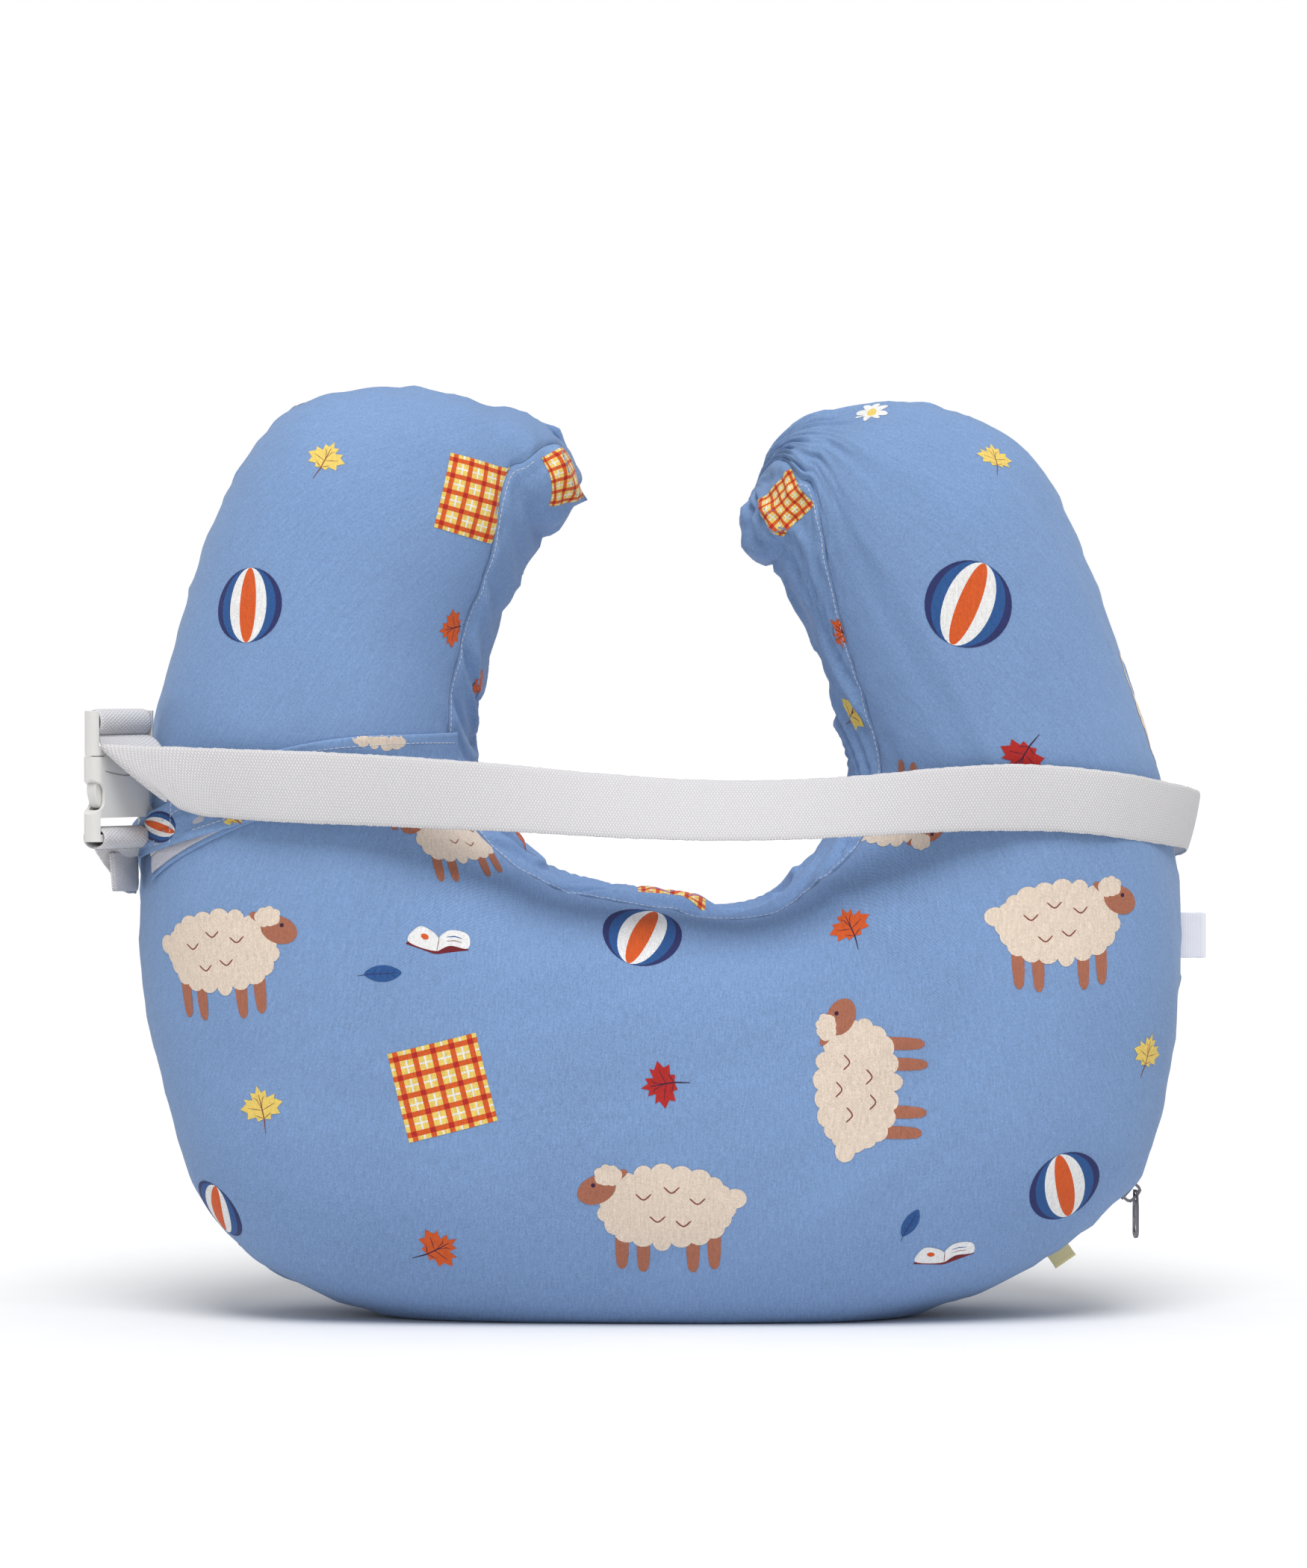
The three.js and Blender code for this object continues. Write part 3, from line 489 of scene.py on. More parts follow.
class Skin:
    """The pillow's surface as a grid of rows along it and columns round it. smooth is its plain
    shape and final the shape with every pucker; a place on either is a row and a column that
    need not be whole numbers."""

    def __init__(self, smooth, final, seams):
        self.smooth, self.final, self.seams = smooth, final, seams

    def at(self, grid, i, j):
        rows, columns = grid.shape[:2]
        i = np.clip(i, 0, rows - 1.0001)
        a, b = np.floor(i).astype(int), np.floor(j).astype(int)
        f, g = (i - a)[..., None], (j - b)[..., None]
        b, c = b % columns, (b + 1) % columns
        near = grid[a, b] * (1 - g) + grid[a, c] * g
        far = grid[a + 1, b] * (1 - g) + grid[a + 1, c] * g
        return near * (1 - f) + far * f

    def frame_at(self, grid, i, j):
        """The two tangents, for one row and one column, and the outward normal."""
        along = self.at(grid, i + 0.5, j) - self.at(grid, i - 0.5, j)
        across = self.at(grid, i, j + 0.5) - self.at(grid, i, j - 0.5)
        return along, across, unit(np.cross(along, across))

    def find(self, x, z, panel):
        """The place on a panel, or on the front half of the gusset, seen at x and z."""
        first, last = self.panel_columns(panel)
        if panel == "gusset":
            last = (first + last) / 2
        columns = np.arange(math.ceil(first), math.floor(last) + 1)
        block = self.smooth[:, columns % self.smooth.shape[1]]
        miss = np.sum((seen(block) - (x, z)) ** 2, axis=-1)
        i, k = np.unravel_index(np.argmin(miss), miss.shape)
        return float(i), float(columns[k])

    def panel_columns(self, panel):
        a, b = self.seams
        total = self.smooth.shape[1]
        return {"front": (0, a), "gusset": (a, b), "back": (b, total)}[panel]

    def walk(self, start, offsets, steps=14):
        """Places reached from a start by offsets in metres, to the right and up as seen from
        outside, following the surface."""
        i = np.full(len(offsets), start[0])
        j = np.full(len(offsets), start[1])
        _, _, normal = self.frame_at(self.smooth, i, j)
        up = np.array([0, 0, 1.0]) - normal * normal[:, 2:3]
        up = unit(up)
        right = np.cross(up, normal)
        step = np.linalg.norm(offsets, axis=1, keepdims=True) / steps
        heading = unit(right * offsets[:, :1] + up * offsets[:, 1:])
        for _ in range(steps):
            along, across, normal = self.frame_at(self.smooth, i, j)
            heading = unit(heading - normal * np.sum(heading * normal, axis=1, keepdims=True))
            move = heading * step
            aa, bb = np.sum(along * along, 1), np.sum(across * across, 1)
            ab = np.sum(along * across, 1)
            ma, mb = np.sum(move * along, 1), np.sum(move * across, 1)
            det = np.maximum(aa * bb - ab * ab, 1e-18)
            i = i + (ma * bb - mb * ab) / det
            j = j + (mb * aa - ma * ab) / det
        return i, j


def pillow_rows():
    """Cross-sections at even steps along the pillow and round both ends: centre, direction,
    half width, half depth, seam angle and how far each lies into an end cap."""
    dense = gaussian(catmull(SECTIONS, np.linspace(0, LAST, LAST * 24 + 1)), 6)
    centre = (dense[:, 0:2] + dense[:, 2:4]) / 2
    length = run_of(centre)
    count = int(length[-1] / ROW_STEP)
    wanted = np.linspace(0, length[-1], count)
    place = np.interp(wanted, length, np.linspace(0, LAST, len(dense)))
    body = np.stack([np.interp(wanted, length, column) for column in dense.T], axis=1)
    centre = (body[:, 0:2] + body[:, 2:4]) / 2
    half = np.linalg.norm(body[:, 0:2] - body[:, 2:4], axis=1) / 2
    facing = (body[:, 0:2] - body[:, 2:4]) / (2 * half[:, None])
    rows = np.column_stack([centre, facing, half, body[:, 4], body[:, 5], np.zeros(count), place])
    caps = []
    for end, tip in ((0, TIPS[0]), (-1, TIPS[1])):
        turn = np.radians(np.linspace(0, 88, CAP_ROWS + 1)[1:])
        into, scale = np.sin(turn) ** (2 / CAP_POWER), np.cos(turn) ** (2 / CAP_POWER)
        last = rows[end]
        cap = np.repeat(last[None], CAP_ROWS, axis=0)
        cap[:, 0:2] += (tip - last[0:2]) * into[:, None]
        cap[:, 4] *= scale
        cap[:, 5] *= scale
        cap[:, 6] += (TIP_SEAM - last[6]) * into**2
        cap[:, 7] = into
        caps.append(cap[::-1] if end == 0 else cap)
    return np.vstack([caps[0], rows, caps[1]])


def section_points(section, angles):
    """Points of one cross-section in pillow millimetres, at angles in degrees."""
    x, z, dx, dz, half, depth = section[:6]
    c, s = np.cos(np.radians(angles)), np.sin(np.radians(angles))
    inner = np.interp(half, *INNER_POWER)
    power = np.where(c < 0, inner, OUTER_POWER)
    across = half * np.sign(c) * np.abs(c) ** power
    y = -depth * np.sign(s) * np.abs(s) ** power
    return np.stack([x + dx * across, y, z + dz * across], axis=-1)


def plain_skin():
    """The smooth grid in pillow millimetres, its columns evenly spread over each panel."""
    rows = pillow_rows()
    counts = (PANEL_COLUMNS, GUSSET_COLUMNS, PANEL_COLUMNS)
    grid = []
    for section in rows:
        seam = section[6]
        line = []
        for count, (low, high) in zip(counts, ((0, seam), (seam, 360 - seam), (360 - seam, 360))):
            angles = np.linspace(low, high, 241)
            points = section_points(section, angles)
            run = run_of(points)
            line.append(np.interp(np.linspace(0, run[-1], count + 1)[:-1], run, angles))
        grid.append(section_points(section, np.concatenate(line)))
    return rows, np.array(grid)


def refine(grid):
    """Twice the rows and columns, by cubic interpolation; the columns are a closed ring."""
    def double(values, closed):
        if closed:
            wide = np.concatenate([values[-1:], values, values[:2]])
        else:
            wide = np.concatenate([2 * values[:1] - values[1:2], values, 2 * values[-1:] - values[-2:-1]])
        middle = (9 * (wide[1:-2] + wide[2:-1]) - wide[:-3] - wide[3:]) / 16
        keep = wide[1:-2] if closed else values[:-1]
        out = np.empty((2 * len(keep),) + values.shape[1:])
        out[0::2], out[1::2] = keep, middle
        return out if closed else np.concatenate([out, values[-1:]])

    grid = double(grid, False)
    return np.swapaxes(double(np.swapaxes(grid, 0, 1), True), 0, 1)


def distances(grid):
    """For each point of a closed grid, the run along its column and along its row, in mm."""
    return run_of(grid), run_of(np.concatenate([grid, grid[:, :1]], axis=1), 1)


def ring_normals(grid):
    """Unit normals of a grid whose columns are a closed ring."""
    along = np.gradient(grid, axis=0)
    across = np.roll(grid, -1, axis=1) - np.roll(grid, 1, axis=1)
    return unit(np.cross(along, across))


BACK_SHIFT = 7000.0  # mm along the noise, so that the back doesn't repeat the front


def pucker(grid, rows, seams):
    """Seam valleys, gathers and soft unevenness, as a push along the normal in millimetres."""
    normals = ring_normals(grid)
    along, across = distances(grid)
    mean_along = along.mean(axis=1, keepdims=True)
    perimeter = across[:, -1:]
    across = across[:, :-1]
    first, second = seams
    to_outer = np.minimum(across, perimeter - across)
    seam_a, seam_b = across[:, first:first + 1], across[:, second:second + 1]
    in_gusset = (across > seam_a) & (across < seam_b)
    to_inner = np.minimum(np.abs(across - seam_a), np.abs(across - seam_b))
    side = np.where(across > perimeter / 2, BACK_SHIFT, 0.0)
    size = smoothstep(np.repeat(rows[:, 4:5], grid.shape[1], 1), 0, 26)
    tip = smoothstep(np.minimum(mean_along, mean_along[-1] - mean_along), 120, 10)

    # the valleys of the outer seam and of the gusset's seams
    push = -1.5 * np.exp(-(to_outer / 3.2) ** 2) - 1.0 * np.exp(-to_outer / 12)
    push -= 1.3 * np.exp(-(to_inner / 2.6) ** 2) + 0.9 * np.exp(-to_inner / 12)
    # short gathers that slant away from the outer seam, then from the gusset's seams
    slant = 0.45 * to_outer
    fine = noise1(along + slant + side, 9.5, 1) + 0.6 * noise1(along - slant + side, 5.5, 2)
    push += (1.7 + 1.2 * tip) * np.exp(-(to_outer / 13) ** 1.3) * fine
    lean = 0.5 * to_inner
    near = noise1(along + lean + side, 9.0, 3) + 0.5 * noise1(along - lean + side, 6.0, 4)
    push += np.where(in_gusset, 1.6 + 1.8 * tip, 0.9 + 1.2 * tip) * np.exp(-(to_inner / 13) ** 1.2) * near
    # folds right across the gusset, which is cut longer than the edge it is gathered to
    drift = 10 * noise2(along, across, 45, 5)
    ruche = noise1(along + drift + 0.35 * across, 15.0, 6)
    small = noise1(along + 1.5 * drift - 0.3 * across, 7.5, 7)
    folds = 1.7 * (np.hypot(ruche, 0.12) - 0.45) + 0.4 * small
    push += np.where(in_gusset, (3.2 + 1.8 * tip) * smoothstep(to_inner, 0, 8), 0) * folds
    # the filling's unevenness, and creases at the tips
    push += 1.5 * noise2(along, across + side, 85, 8) + 0.5 * noise2(along, across + side, 34, 9)
    creases = noise2(along + 0.6 * across, across, 30, 10)
    push += 3.4 * tip * (0.42 - np.abs(creases))
    return grid + normals * (push * size)[..., None]


def rest_on_floor(grid):
    """Keeps the skin above the floor, with a soft bulge where it meets it."""
    grid = grid.copy()
    z = grid[..., 2]
    low = np.minimum(z, 6)
    grid[..., 2] = np.where(z > 6, z, np.maximum(0.0, low * smoothstep(low, -4, 6)))
    return grid


ROWS, PLAIN = plain_skin()
SEAMS = (PANEL_COLUMNS, PANEL_COLUMNS + GUSSET_COLUMNS)
PUCKERED = rest_on_floor(pucker(PLAIN, ROWS, SEAMS))
SKIN = Skin(row(refine(rest_on_floor(PLAIN))), row(refine(PUCKERED)), (2 * SEAMS[0], 2 * SEAMS[1]))


# ---------------------------------------------------------------- cover panels

def zip_opening(places):
    """How far the front and back panels stand from the middle plane along the outer seam."""
    inside = np.minimum(places - ZIP_SPAN[0], ZIP_SPAN[1] - places)
    return np.interp(inside, (-0.35, 0.0), (SEAM_GAP, ZIP_OPENING)) * MM


def fine_places():
    """The place in sections of every fine row, negative or past the last one on the caps."""
    places = ROWS[:, 8].copy()
    caps = ROWS[:, 7]
    middle = len(places) // 2
    places[:middle] -= caps[:middle]
    places[middle:] += caps[middle:]
    return np.interp(np.arange(2 * len(places) - 1) / 2, np.arange(len(places)), places)


HEM = ((0.1, 0.9), (0.3, 2.4), (0.9, 5.0))  # how far in and how deep a panel's edge turns, mm


def cover_panel(name, panel, node):
    """One panel of the cover, with its edges turned in at the seams."""
    first, last = SKIN.panel_columns(panel)
    columns = np.arange(first, last + 1) % SKIN.final.shape[1]
    grid = SKIN.final[:, columns].copy()
    normals = normals_of(grid)
    opening = zip_opening(fine_places())
    seam_gap = np.full(len(grid), SEAM_GAP * MM)
    gaps = {"front": (opening, seam_gap), "gusset": (seam_gap, seam_gap), "back": (seam_gap, opening)}[panel]
    for side, gap in zip((0, -1), gaps):
        order = range(4) if side == 0 else range(-1, -5, -1)
        inner = 4 if side == 0 else -5
        edge = grid[:, side].copy()
        inward = unit(grid[:, inner] - edge)
        for rank, k in enumerate(order):
            grid[:, k] += inward * (gap * (1 - rank / 4) ** 1.5)[:, None]
    hems = []
    for side in (0, -1):
        edge, normal = grid[:, side], normals[:, side]
        inward = unit(grid[:, 3 if side == 0 else -4] - edge)
        half_depth = np.interp(np.arange(len(grid)) / 2, np.arange(len(ROWS)), ROWS[:, 4])
        size = np.clip(half_depth / 36, 0.02, 1)[:, None] * MM
        hem = [edge + (inward * a - normal * b) * size for a, b in HEM]
        hems.append(hem if side == -1 else hem[::-1])
    grid = np.concatenate([np.stack(hems[0], 1), grid, np.stack(hems[1], 1)], axis=1)
    grid[..., 2] = np.maximum(grid[..., 2], 0.0)
    along, across = run_of(grid), run_of(grid, 1)
    along -= along[len(grid) // 2]
    across -= across[:, across.shape[1] // 2][:, None]
    obj = sheet_object(name, grid, np.stack([along, across], -1), [COTTON["ground"]])
    close_tip(obj, len(grid), grid.shape[1])
    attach(obj, "root")
    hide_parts(node)


def close_tip(obj, rows, columns):
    """Gathers both short ends of a panel to one point each, where the arms end."""
    work = bmesh.new()
    work.from_mesh(obj.data)
    work.verts.ensure_lookup_table()
    layer = work.loops.layers.uv.active
    rings = [[work.verts[start + j] for j in range(columns)] for start in (0, (rows - 1) * columns)]
    for start, ring in enumerate(rings):
        middle = work.verts.new(sum((v.co for v in ring), Vector()) / columns)
        for a, b in zip(ring, ring[1:]):
            corners = (b, a, middle) if start == 0 else (a, b, middle)
            face = work.faces.new(corners)
            face.smooth = True
            for loop in face.loops:
                loop[layer].uv = (loop.vert.co.x, loop.vert.co.z)
    work.to_mesh(obj.data)
    work.free()


cover_panel("cover_front", "front", "cover_front_panel")
cover_panel("cover_gusset", "gusset", "cover_inner_gusset")
cover_panel("cover_back", "back", "cover_back_panel")


# ---------------------------------------------------------------- the print

def ellipse(x, y, rx, ry, tilt=0.0, points=22):
    """The outline of an ellipse, tilted by degrees."""
    a = np.linspace(0, math.tau, points, endpoint=False)
    c, s = math.cos(math.radians(tilt)), math.sin(math.radians(tilt))
    u, v = rx * np.cos(a), ry * np.sin(a)
    return np.column_stack([x + u * c - v * s, y + u * s + v * c])


def rounded(points, closed=True, steps=5):
    """A smooth line through points."""
    points = np.asarray(points, float)
    n = len(points)
    if closed:
        around = np.vstack([points[-1:], points, points[:2]])
        t = np.linspace(1, n + 1, n * steps, endpoint=False)
        return catmull(around, t)
    return catmull(points, np.linspace(0, n - 1, (n - 1) * steps + 1))


def stroke(points, width):
    """A drawn line as an outline, tapered a little at its ends."""
    points = np.asarray(points, float)
    direction = unit(np.gradient(points, axis=0))
    side = np.column_stack([-direction[:, 1], direction[:, 0]])
    taper = np.minimum(1, 0.45 + 0.55 * np.minimum(np.arange(len(points)), np.arange(len(points))[::-1]))
    side *= (taper * width / 2)[:, None]
    return np.vstack([points + side, (points - side)[::-1]])


def fleece(x, y, rx, ry, tilt, puff, seed):
    """A woolly shape: an oval with round tufts along its edge."""
    rng = np.random.default_rng(seed)
    edge = ellipse(x, y, rx, ry, tilt, max(7, int(math.tau * (rx + ry) / 2 / (puff * 1.35))))
    tufts = [ellipse(px, py, puff * rng.uniform(0.8, 1.15), puff * rng.uniform(0.8, 1.1), 0, 14)
             for px, py in edge]
    return [("cream", ellipse(x, y, rx, ry, tilt))] + [("cream", tuft) for tuft in tufts]


def sheep():
    """A plain sheep that stands and looks left, about 76 mm wide."""
    parts = []
    for x, foot in ((-17, -27), (-8, -28.5), (13, -28.5), (22, -27)):
        leg = [(x - 2.4, -8), (x + 2.4, -8), (x + 2.2, foot), (x - 2.2, foot)]
        parts.append(("brown", rounded(leg, True, 3)))
    parts += fleece(2, 0, 25, 15, 0, 4.8, 1)
    parts += [("cream", ellipse(31, 4, 5.0, 4.4)), ("brown", ellipse(-28, 8, 8.6, 6.2, 24)),
              ("brown", ellipse(-19.5, 14, 5.0, 2.1, 28))]
    parts += fleece(-23.5, 14.5, 3.4, 2.2, 0, 2.8, 5)
    parts.append(("dark", ellipse(-29.5, 10.0, 1.0, 1.0, 0, 10)))
    for x, y in ((-8, 5), (4, 8), (15, 3), (-2, -5), (9, -7)):
        curl = [(x - 3.4, y + 1.2), (x, y - 1.4), (x + 3.4, y + 1.2)]
        parts.append(("line", stroke(rounded(curl, False), 0.7)))
    return parts


def ball():
    """A ball of 34 mm in upright stripes."""
    return [("navy", ellipse(0, 0, 17, 17, 0, 40)), ("teal", ellipse(0, 0, 14, 17, 0, 40)),
            ("white", ellipse(0, 0, 9.5, 17, 0, 36)), ("orange", ellipse(0, 0, 4.2, 17, 0, 32))]


def gingham():
    """A square of checked cloth, 38 mm each way."""
    half, pitch, wide = 19, 8, 1.15
    parts = [("yellow", np.array([(-half, -half), (half, -half), (half, half), (-half, half)]))]
    for k in np.arange(-half + 3, half, pitch):
        upright = np.array([(k - wide, -half), (k + wide, -half), (k + wide, half), (k - wide, half)])
        parts += [("check", upright), ("check", upright[:, ::-1])]
    for k in np.arange(-half + 7, half, pitch):
        upright = np.array([(k - 0.35, -half), (k + 0.35, -half), (k + 0.35, half), (k - 0.35, half)])
        parts += [("fine", upright), ("fine", upright[:, ::-1])]
    return parts


def daisy():
    """A daisy of 20 mm with eight petals."""
    parts = []
    for turn in range(0, 360, 45):
        angle = math.radians(turn)
        parts.append(("white", ellipse(6.2 * math.cos(angle), 6.2 * math.sin(angle), 4.2, 2.1, turn, 14)))
    return parts + [("yellow", ellipse(0, 0, 3.0, 3.0, 0, 16))]


def maple(colour, vein="dark"):
    """A maple leaf of about 24 mm with its stalk."""
    half = [(0, 12.5), (1.6, 8.6), (4.4, 9.6), (4.0, 5.6), (8.8, 6.8), (7.8, 4.6), (12.0, 2.2),
            (8.2, -0.4), (9.2, -3.4), (4.2, -3.0), (3.6, -5.4), (0.8, -4.6)]
    outline = np.array(half + [(-x, y) for x, y in half[::-1]])
    parts = [(colour, outline), (vein, stroke([(0, 8), (0.2, 1), (0, -5), (-1.4, -12)], 0.7))]
    for x, y in ((7.5, 2.2), (-7.5, 2.2), (4.5, -2.0), (-4.5, -2.0), (3.2, 6.8), (-3.2, 6.8)):
        parts.append((vein, stroke([(0, min(y, 3) - 2.4), (x * 0.5, y - 1.2), (x, y)], 0.45)))
    return parts


def blade():
    """A single pointed leaf."""
    outline = rounded([(-12, 0), (-6, 4.6), (3, 5.2), (11, 1), (4, -4.0), (-5, -4.2)])
    parts = [("teal", outline), ("navy", stroke([(-16, -1), (-8, 0), (2, 0.4), (9, 0.9)], 0.6))]
    for x in (-7, -3, 1, 5):
        parts += [("navy", stroke([(x, 0.2), (x + 1.4, 1.6), (x + 2.6, 3)], 0.4)),
                  ("navy", stroke([(x, 0.2), (x + 1.4, -1.3), (x + 2.4, -2.6)], 0.4))]
    return parts


def book():
    """A small open book, with a spot on one page and short lines on the other."""
    return [
        ("maroon", np.array([(-16, -4.5), (-1, -8.5), (1, -8.5), (17, -5.5), (13, -2), (-13, 0)])),
        ("white", rounded([(-15, -3), (-10, 5), (-3, 3.2), (1, -1), (0, -7)], True, 6)),
        ("white", rounded([(0, -7), (1, 0), (7, 4.4), (16, 2.6), (16.5, -4.6), (7, -3.8)], True, 6)),
        ("line", stroke([(0.4, -7), (0.8, -3), (1.2, 0)], 0.5)),
        ("orange", ellipse(-6.4, 0, 2.2, 1.5, -20, 12)),
        ("teal", stroke([(5, 0.6), (9, 1.2), (13, 0.4)], 0.7)),
        ("line", stroke([(5, -1.6), (9, -1), (13, -1.8)], 0.5)),
    ]


def covered(points, shape):
    """Which points a closed line goes round, however it crosses itself."""
    a, b = shape, np.roll(shape, -1, axis=0)
    x, y = points[:, 0:1], points[:, 1:2]
    side = (b[:, 0] - a[:, 0]) * (y - a[:, 1]) - (b[:, 1] - a[:, 1]) * (x - a[:, 0])
    up = (a[:, 1] <= y) & (b[:, 1] > y) & (side > 0)
    down = (a[:, 1] > y) & (b[:, 1] <= y) & (side < 0)
    return up.sum(axis=1) - down.sum(axis=1) != 0


class Motif:
    """A flat drawing cut once into small triangles, each with the colour that shows there."""

    STEP = 2.6

    def __init__(self, parts):
        points, edges = [], []
        for _, shape in parts:
            start, count = len(points), len(shape)
            edges += [(start + k, start + (k + 1) % count) for k in range(count)]
            points += [Vector(p) for p in shape]
        low, high = np.min(points, axis=0), np.max(points, axis=0)
        for x in np.arange(low[0], high[0], self.STEP):
            for y in np.arange(low[1], high[1], self.STEP):
                points.append(Vector((x + 0.013, y + 0.007)))
        vertices, _, triangles, _, _, _ = delaunay_2d_cdt(points, edges, [], 0, 1e-4)
        self.points = np.array([tuple(v) for v in vertices])
        triangles = np.array([t if self.turns_left(t) else t[::-1] for t in triangles])
        middles = self.points[triangles].mean(axis=1)
        stacks = [[] for _ in triangles]
        for colour, shape in parts:
            for k in np.nonzero(covered(middles, shape))[0]:
                stacks[k].append(colour)
        shown = [self.shown(stack) for stack in stacks]
        self.triangles = [tuple(t) for t, colour in zip(triangles, shown) if colour]
        self.colours = [colour for colour in shown if colour]

    def turns_left(self, triangle):
        a, b, c = self.points[list(triangle)]
        return (b[0] - a[0]) * (c[1] - a[1]) > (b[1] - a[1]) * (c[0] - a[0])

    @staticmethod
    def shown(stack):
        """The colour on top of a stack, where a check only shows on yellow cloth."""
        plain = [c for c in stack if c not in ("check", "fine")]
        if not plain:
            return None
        top = plain[-1]
        if top == "yellow" and "check" in stack:
            return "red" if stack.count("check") > 1 else "orange"
        if top == "yellow" and "fine" in stack:
            return "white"
        return top


MOTIFS = {
    "sheep": Motif(sheep()),
    "ball": Motif(ball()),
    "gingham": Motif(gingham()),
    "daisy": Motif(daisy()),
    "yellow_leaf": Motif(maple("yellow", "line")),
    "orange_leaf": Motif(maple("orange")),
    "red_leaf": Motif(maple("red")),
    "blue_leaf": Motif(blade()),
    "book": Motif(book()),
    "tuft": Motif(fleece(0, 0, 12, 3.2, -8, 3.0, 6)),
}

# Where each motif is, panel by panel: x and z seen from the front in millimetres, motif, turn in
# degrees and size. A negative size is mirrored.
PRINTS = {
    "front": [
        (-182, 458, "yellow_leaf", -20, 0.95), (-98, 437, "gingham", -14, 1.1),
        (-224, 380, "ball", 2, 1.17), (-112, 368, "orange_leaf", 100, 0.9),
        (-128, 290, "sheep", 0, -0.99), (164, 382, "ball", -22, 1.35),
        (178, 460, "yellow_leaf", -12, 0.92), (112, 484, "daisy", 0, 0.9), (-197, 490, "daisy", -24, 0.6),
        (194, 300, "red_leaf", 150, 1.1), (-237, 197, "sheep", 4, -1.16), (-120, 203, "book", -5, 1.0),
        (-150, 183, "blue_leaf", 0, 0.85), (-12, 206, "ball", 156, -1.23),
        (101, 208, "orange_leaf", 30, 1.0), (214, 212, "sheep", 3, -1.16),
        (-118, 124, "gingham", 14, 1.25), (2, 126, "red_leaf", 100, 1.05), (104, 124, "sheep", 88, -1.19),
        (259, 140, "yellow_leaf", -12, 1.0), (-217, 111, "yellow_leaf", 12, 1.05),
        (0, 57, "sheep", 0, 1.23), (214, 68, "ball", 24, 1.22), (-240, 58, "ball", -32, 1.04),
        (-124, 36, "orange_leaf", -60, 1.1), (132, 50, "blue_leaf", 62, 0.75), (150, 35, "book", 12, 1.0),
        (-112, 258, "sheep", 0, 0.88), (266, 330, "sheep", 96, 0.88), (122, 268, "sheep", 180, 0.94),
    ],
    "gusset": [
        (-100, 338, "orange_leaf", 20, 0.9), (100, 322, "yellow_leaf", -50, 0.9),
        (-52, 450, "gingham", 14, 0.79), (62, 436, "gingham", 40, 0.74),
        (100, 366, "orange_leaf", 40, 0.9), (4, 226, "gingham", 90, 0.96),
        (-74, 256, "orange_leaf", 0, 0.9),
    ],
    "back": [
        (-200, 440, "sheep", 8, 1.06), (190, 430, "gingham", 0, 1.08),
        (-130, 360, "yellow_leaf", 30, 1.0), (132, 330, "red_leaf", 60, 1.0),
        (-222, 300, "sheep", 95, 1.04), (205, 330, "ball", -8, -1.17), (-205, 200, "gingham", 0, 1.2),
        (195, 190, "sheep", 0, -1.06), (-90, 150, "ball", 0, 1.23), (70, 140, "sheep", 180, 1.04),
        (0, 190, "orange_leaf", 15, 1.0), (-150, 90, "book", -12, 1.0), (-20, 60, "gingham", 0, 1.08),
        (120, 55, "blue_leaf", 30, 0.9), (215, 95, "yellow_leaf", -30, 1.0),
        (-225, 105, "red_leaf", 45, 1.0),
    ],
}
PRINT_LIFT = 0.22 * MM
PALETTE = [c for c in PRINT_COLOURS if c != "ground"]


def turned(points, degrees):
    """Flat points turned anticlockwise."""
    c, s = math.cos(math.radians(degrees)), math.sin(math.radians(degrees))
    return points @ np.array([[c, s], [-s, c]])


def print_panel(name, panel):
    """All motifs of one panel, laid on its skin and cut off at its seams."""
    first, last = SKIN.panel_columns(panel)
    points, faces, slots, uv = [], [], [], []
    for x, z, kind, angle, size in PRINTS[panel]:
        motif = MOTIFS[kind]
        flat = turned(motif.points * (np.array([size, abs(size)]) * MM), angle)
        i, j = SKIN.walk(SKIN.find(x, z, panel), flat)
        j_kept = np.clip(j, first + 0.35, last - 0.35)
        outside = (j != j_kept) | (i < 1) | (i > len(SKIN.smooth) - 2)
        i = np.clip(i, 1, len(SKIN.smooth) - 2)
        _, _, normal = SKIN.frame_at(SKIN.final, i, j_kept)
        place = SKIN.at(SKIN.final, i, j_kept) + normal * PRINT_LIFT
        place[:, 2] = np.maximum(place[:, 2], 0.05 * MM)
        start = len(points)
        points += list(place)
        for triangle, colour in zip(motif.triangles, motif.colours):
            if outside[list(triangle)].all():
                continue
            order = triangle[::-1] if size < 0 else triangle
            faces.append([start + k for k in order])
            slots.append(PALETTE.index(colour))
            uv += [flat[k] + np.array([x, z]) * MM for k in order]
    obj = mesh_object(name, points, faces, [COTTON[c] for c in PALETTE], uv, slots)
    drop_loose(obj)
    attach(obj, "root")


def drop_loose(obj):
    """Deletes the points that no face uses."""
    work = bmesh.new()
    work.from_mesh(obj.data)
    bmesh.ops.delete(work, geom=[v for v in work.verts if not v.link_faces], context="VERTS")
    work.to_mesh(obj.data)
    work.free()


for panel in ("front", "gusset", "back"):
    print_panel(f"print_{panel}", panel)


# ---------------------------------------------------------------- webbing

WEB_WIDTH, WEB_THICKNESS = 38.0, 1.5
SELVEDGE = 0.55  # how far the webbing's edges stand out and in along it, mm

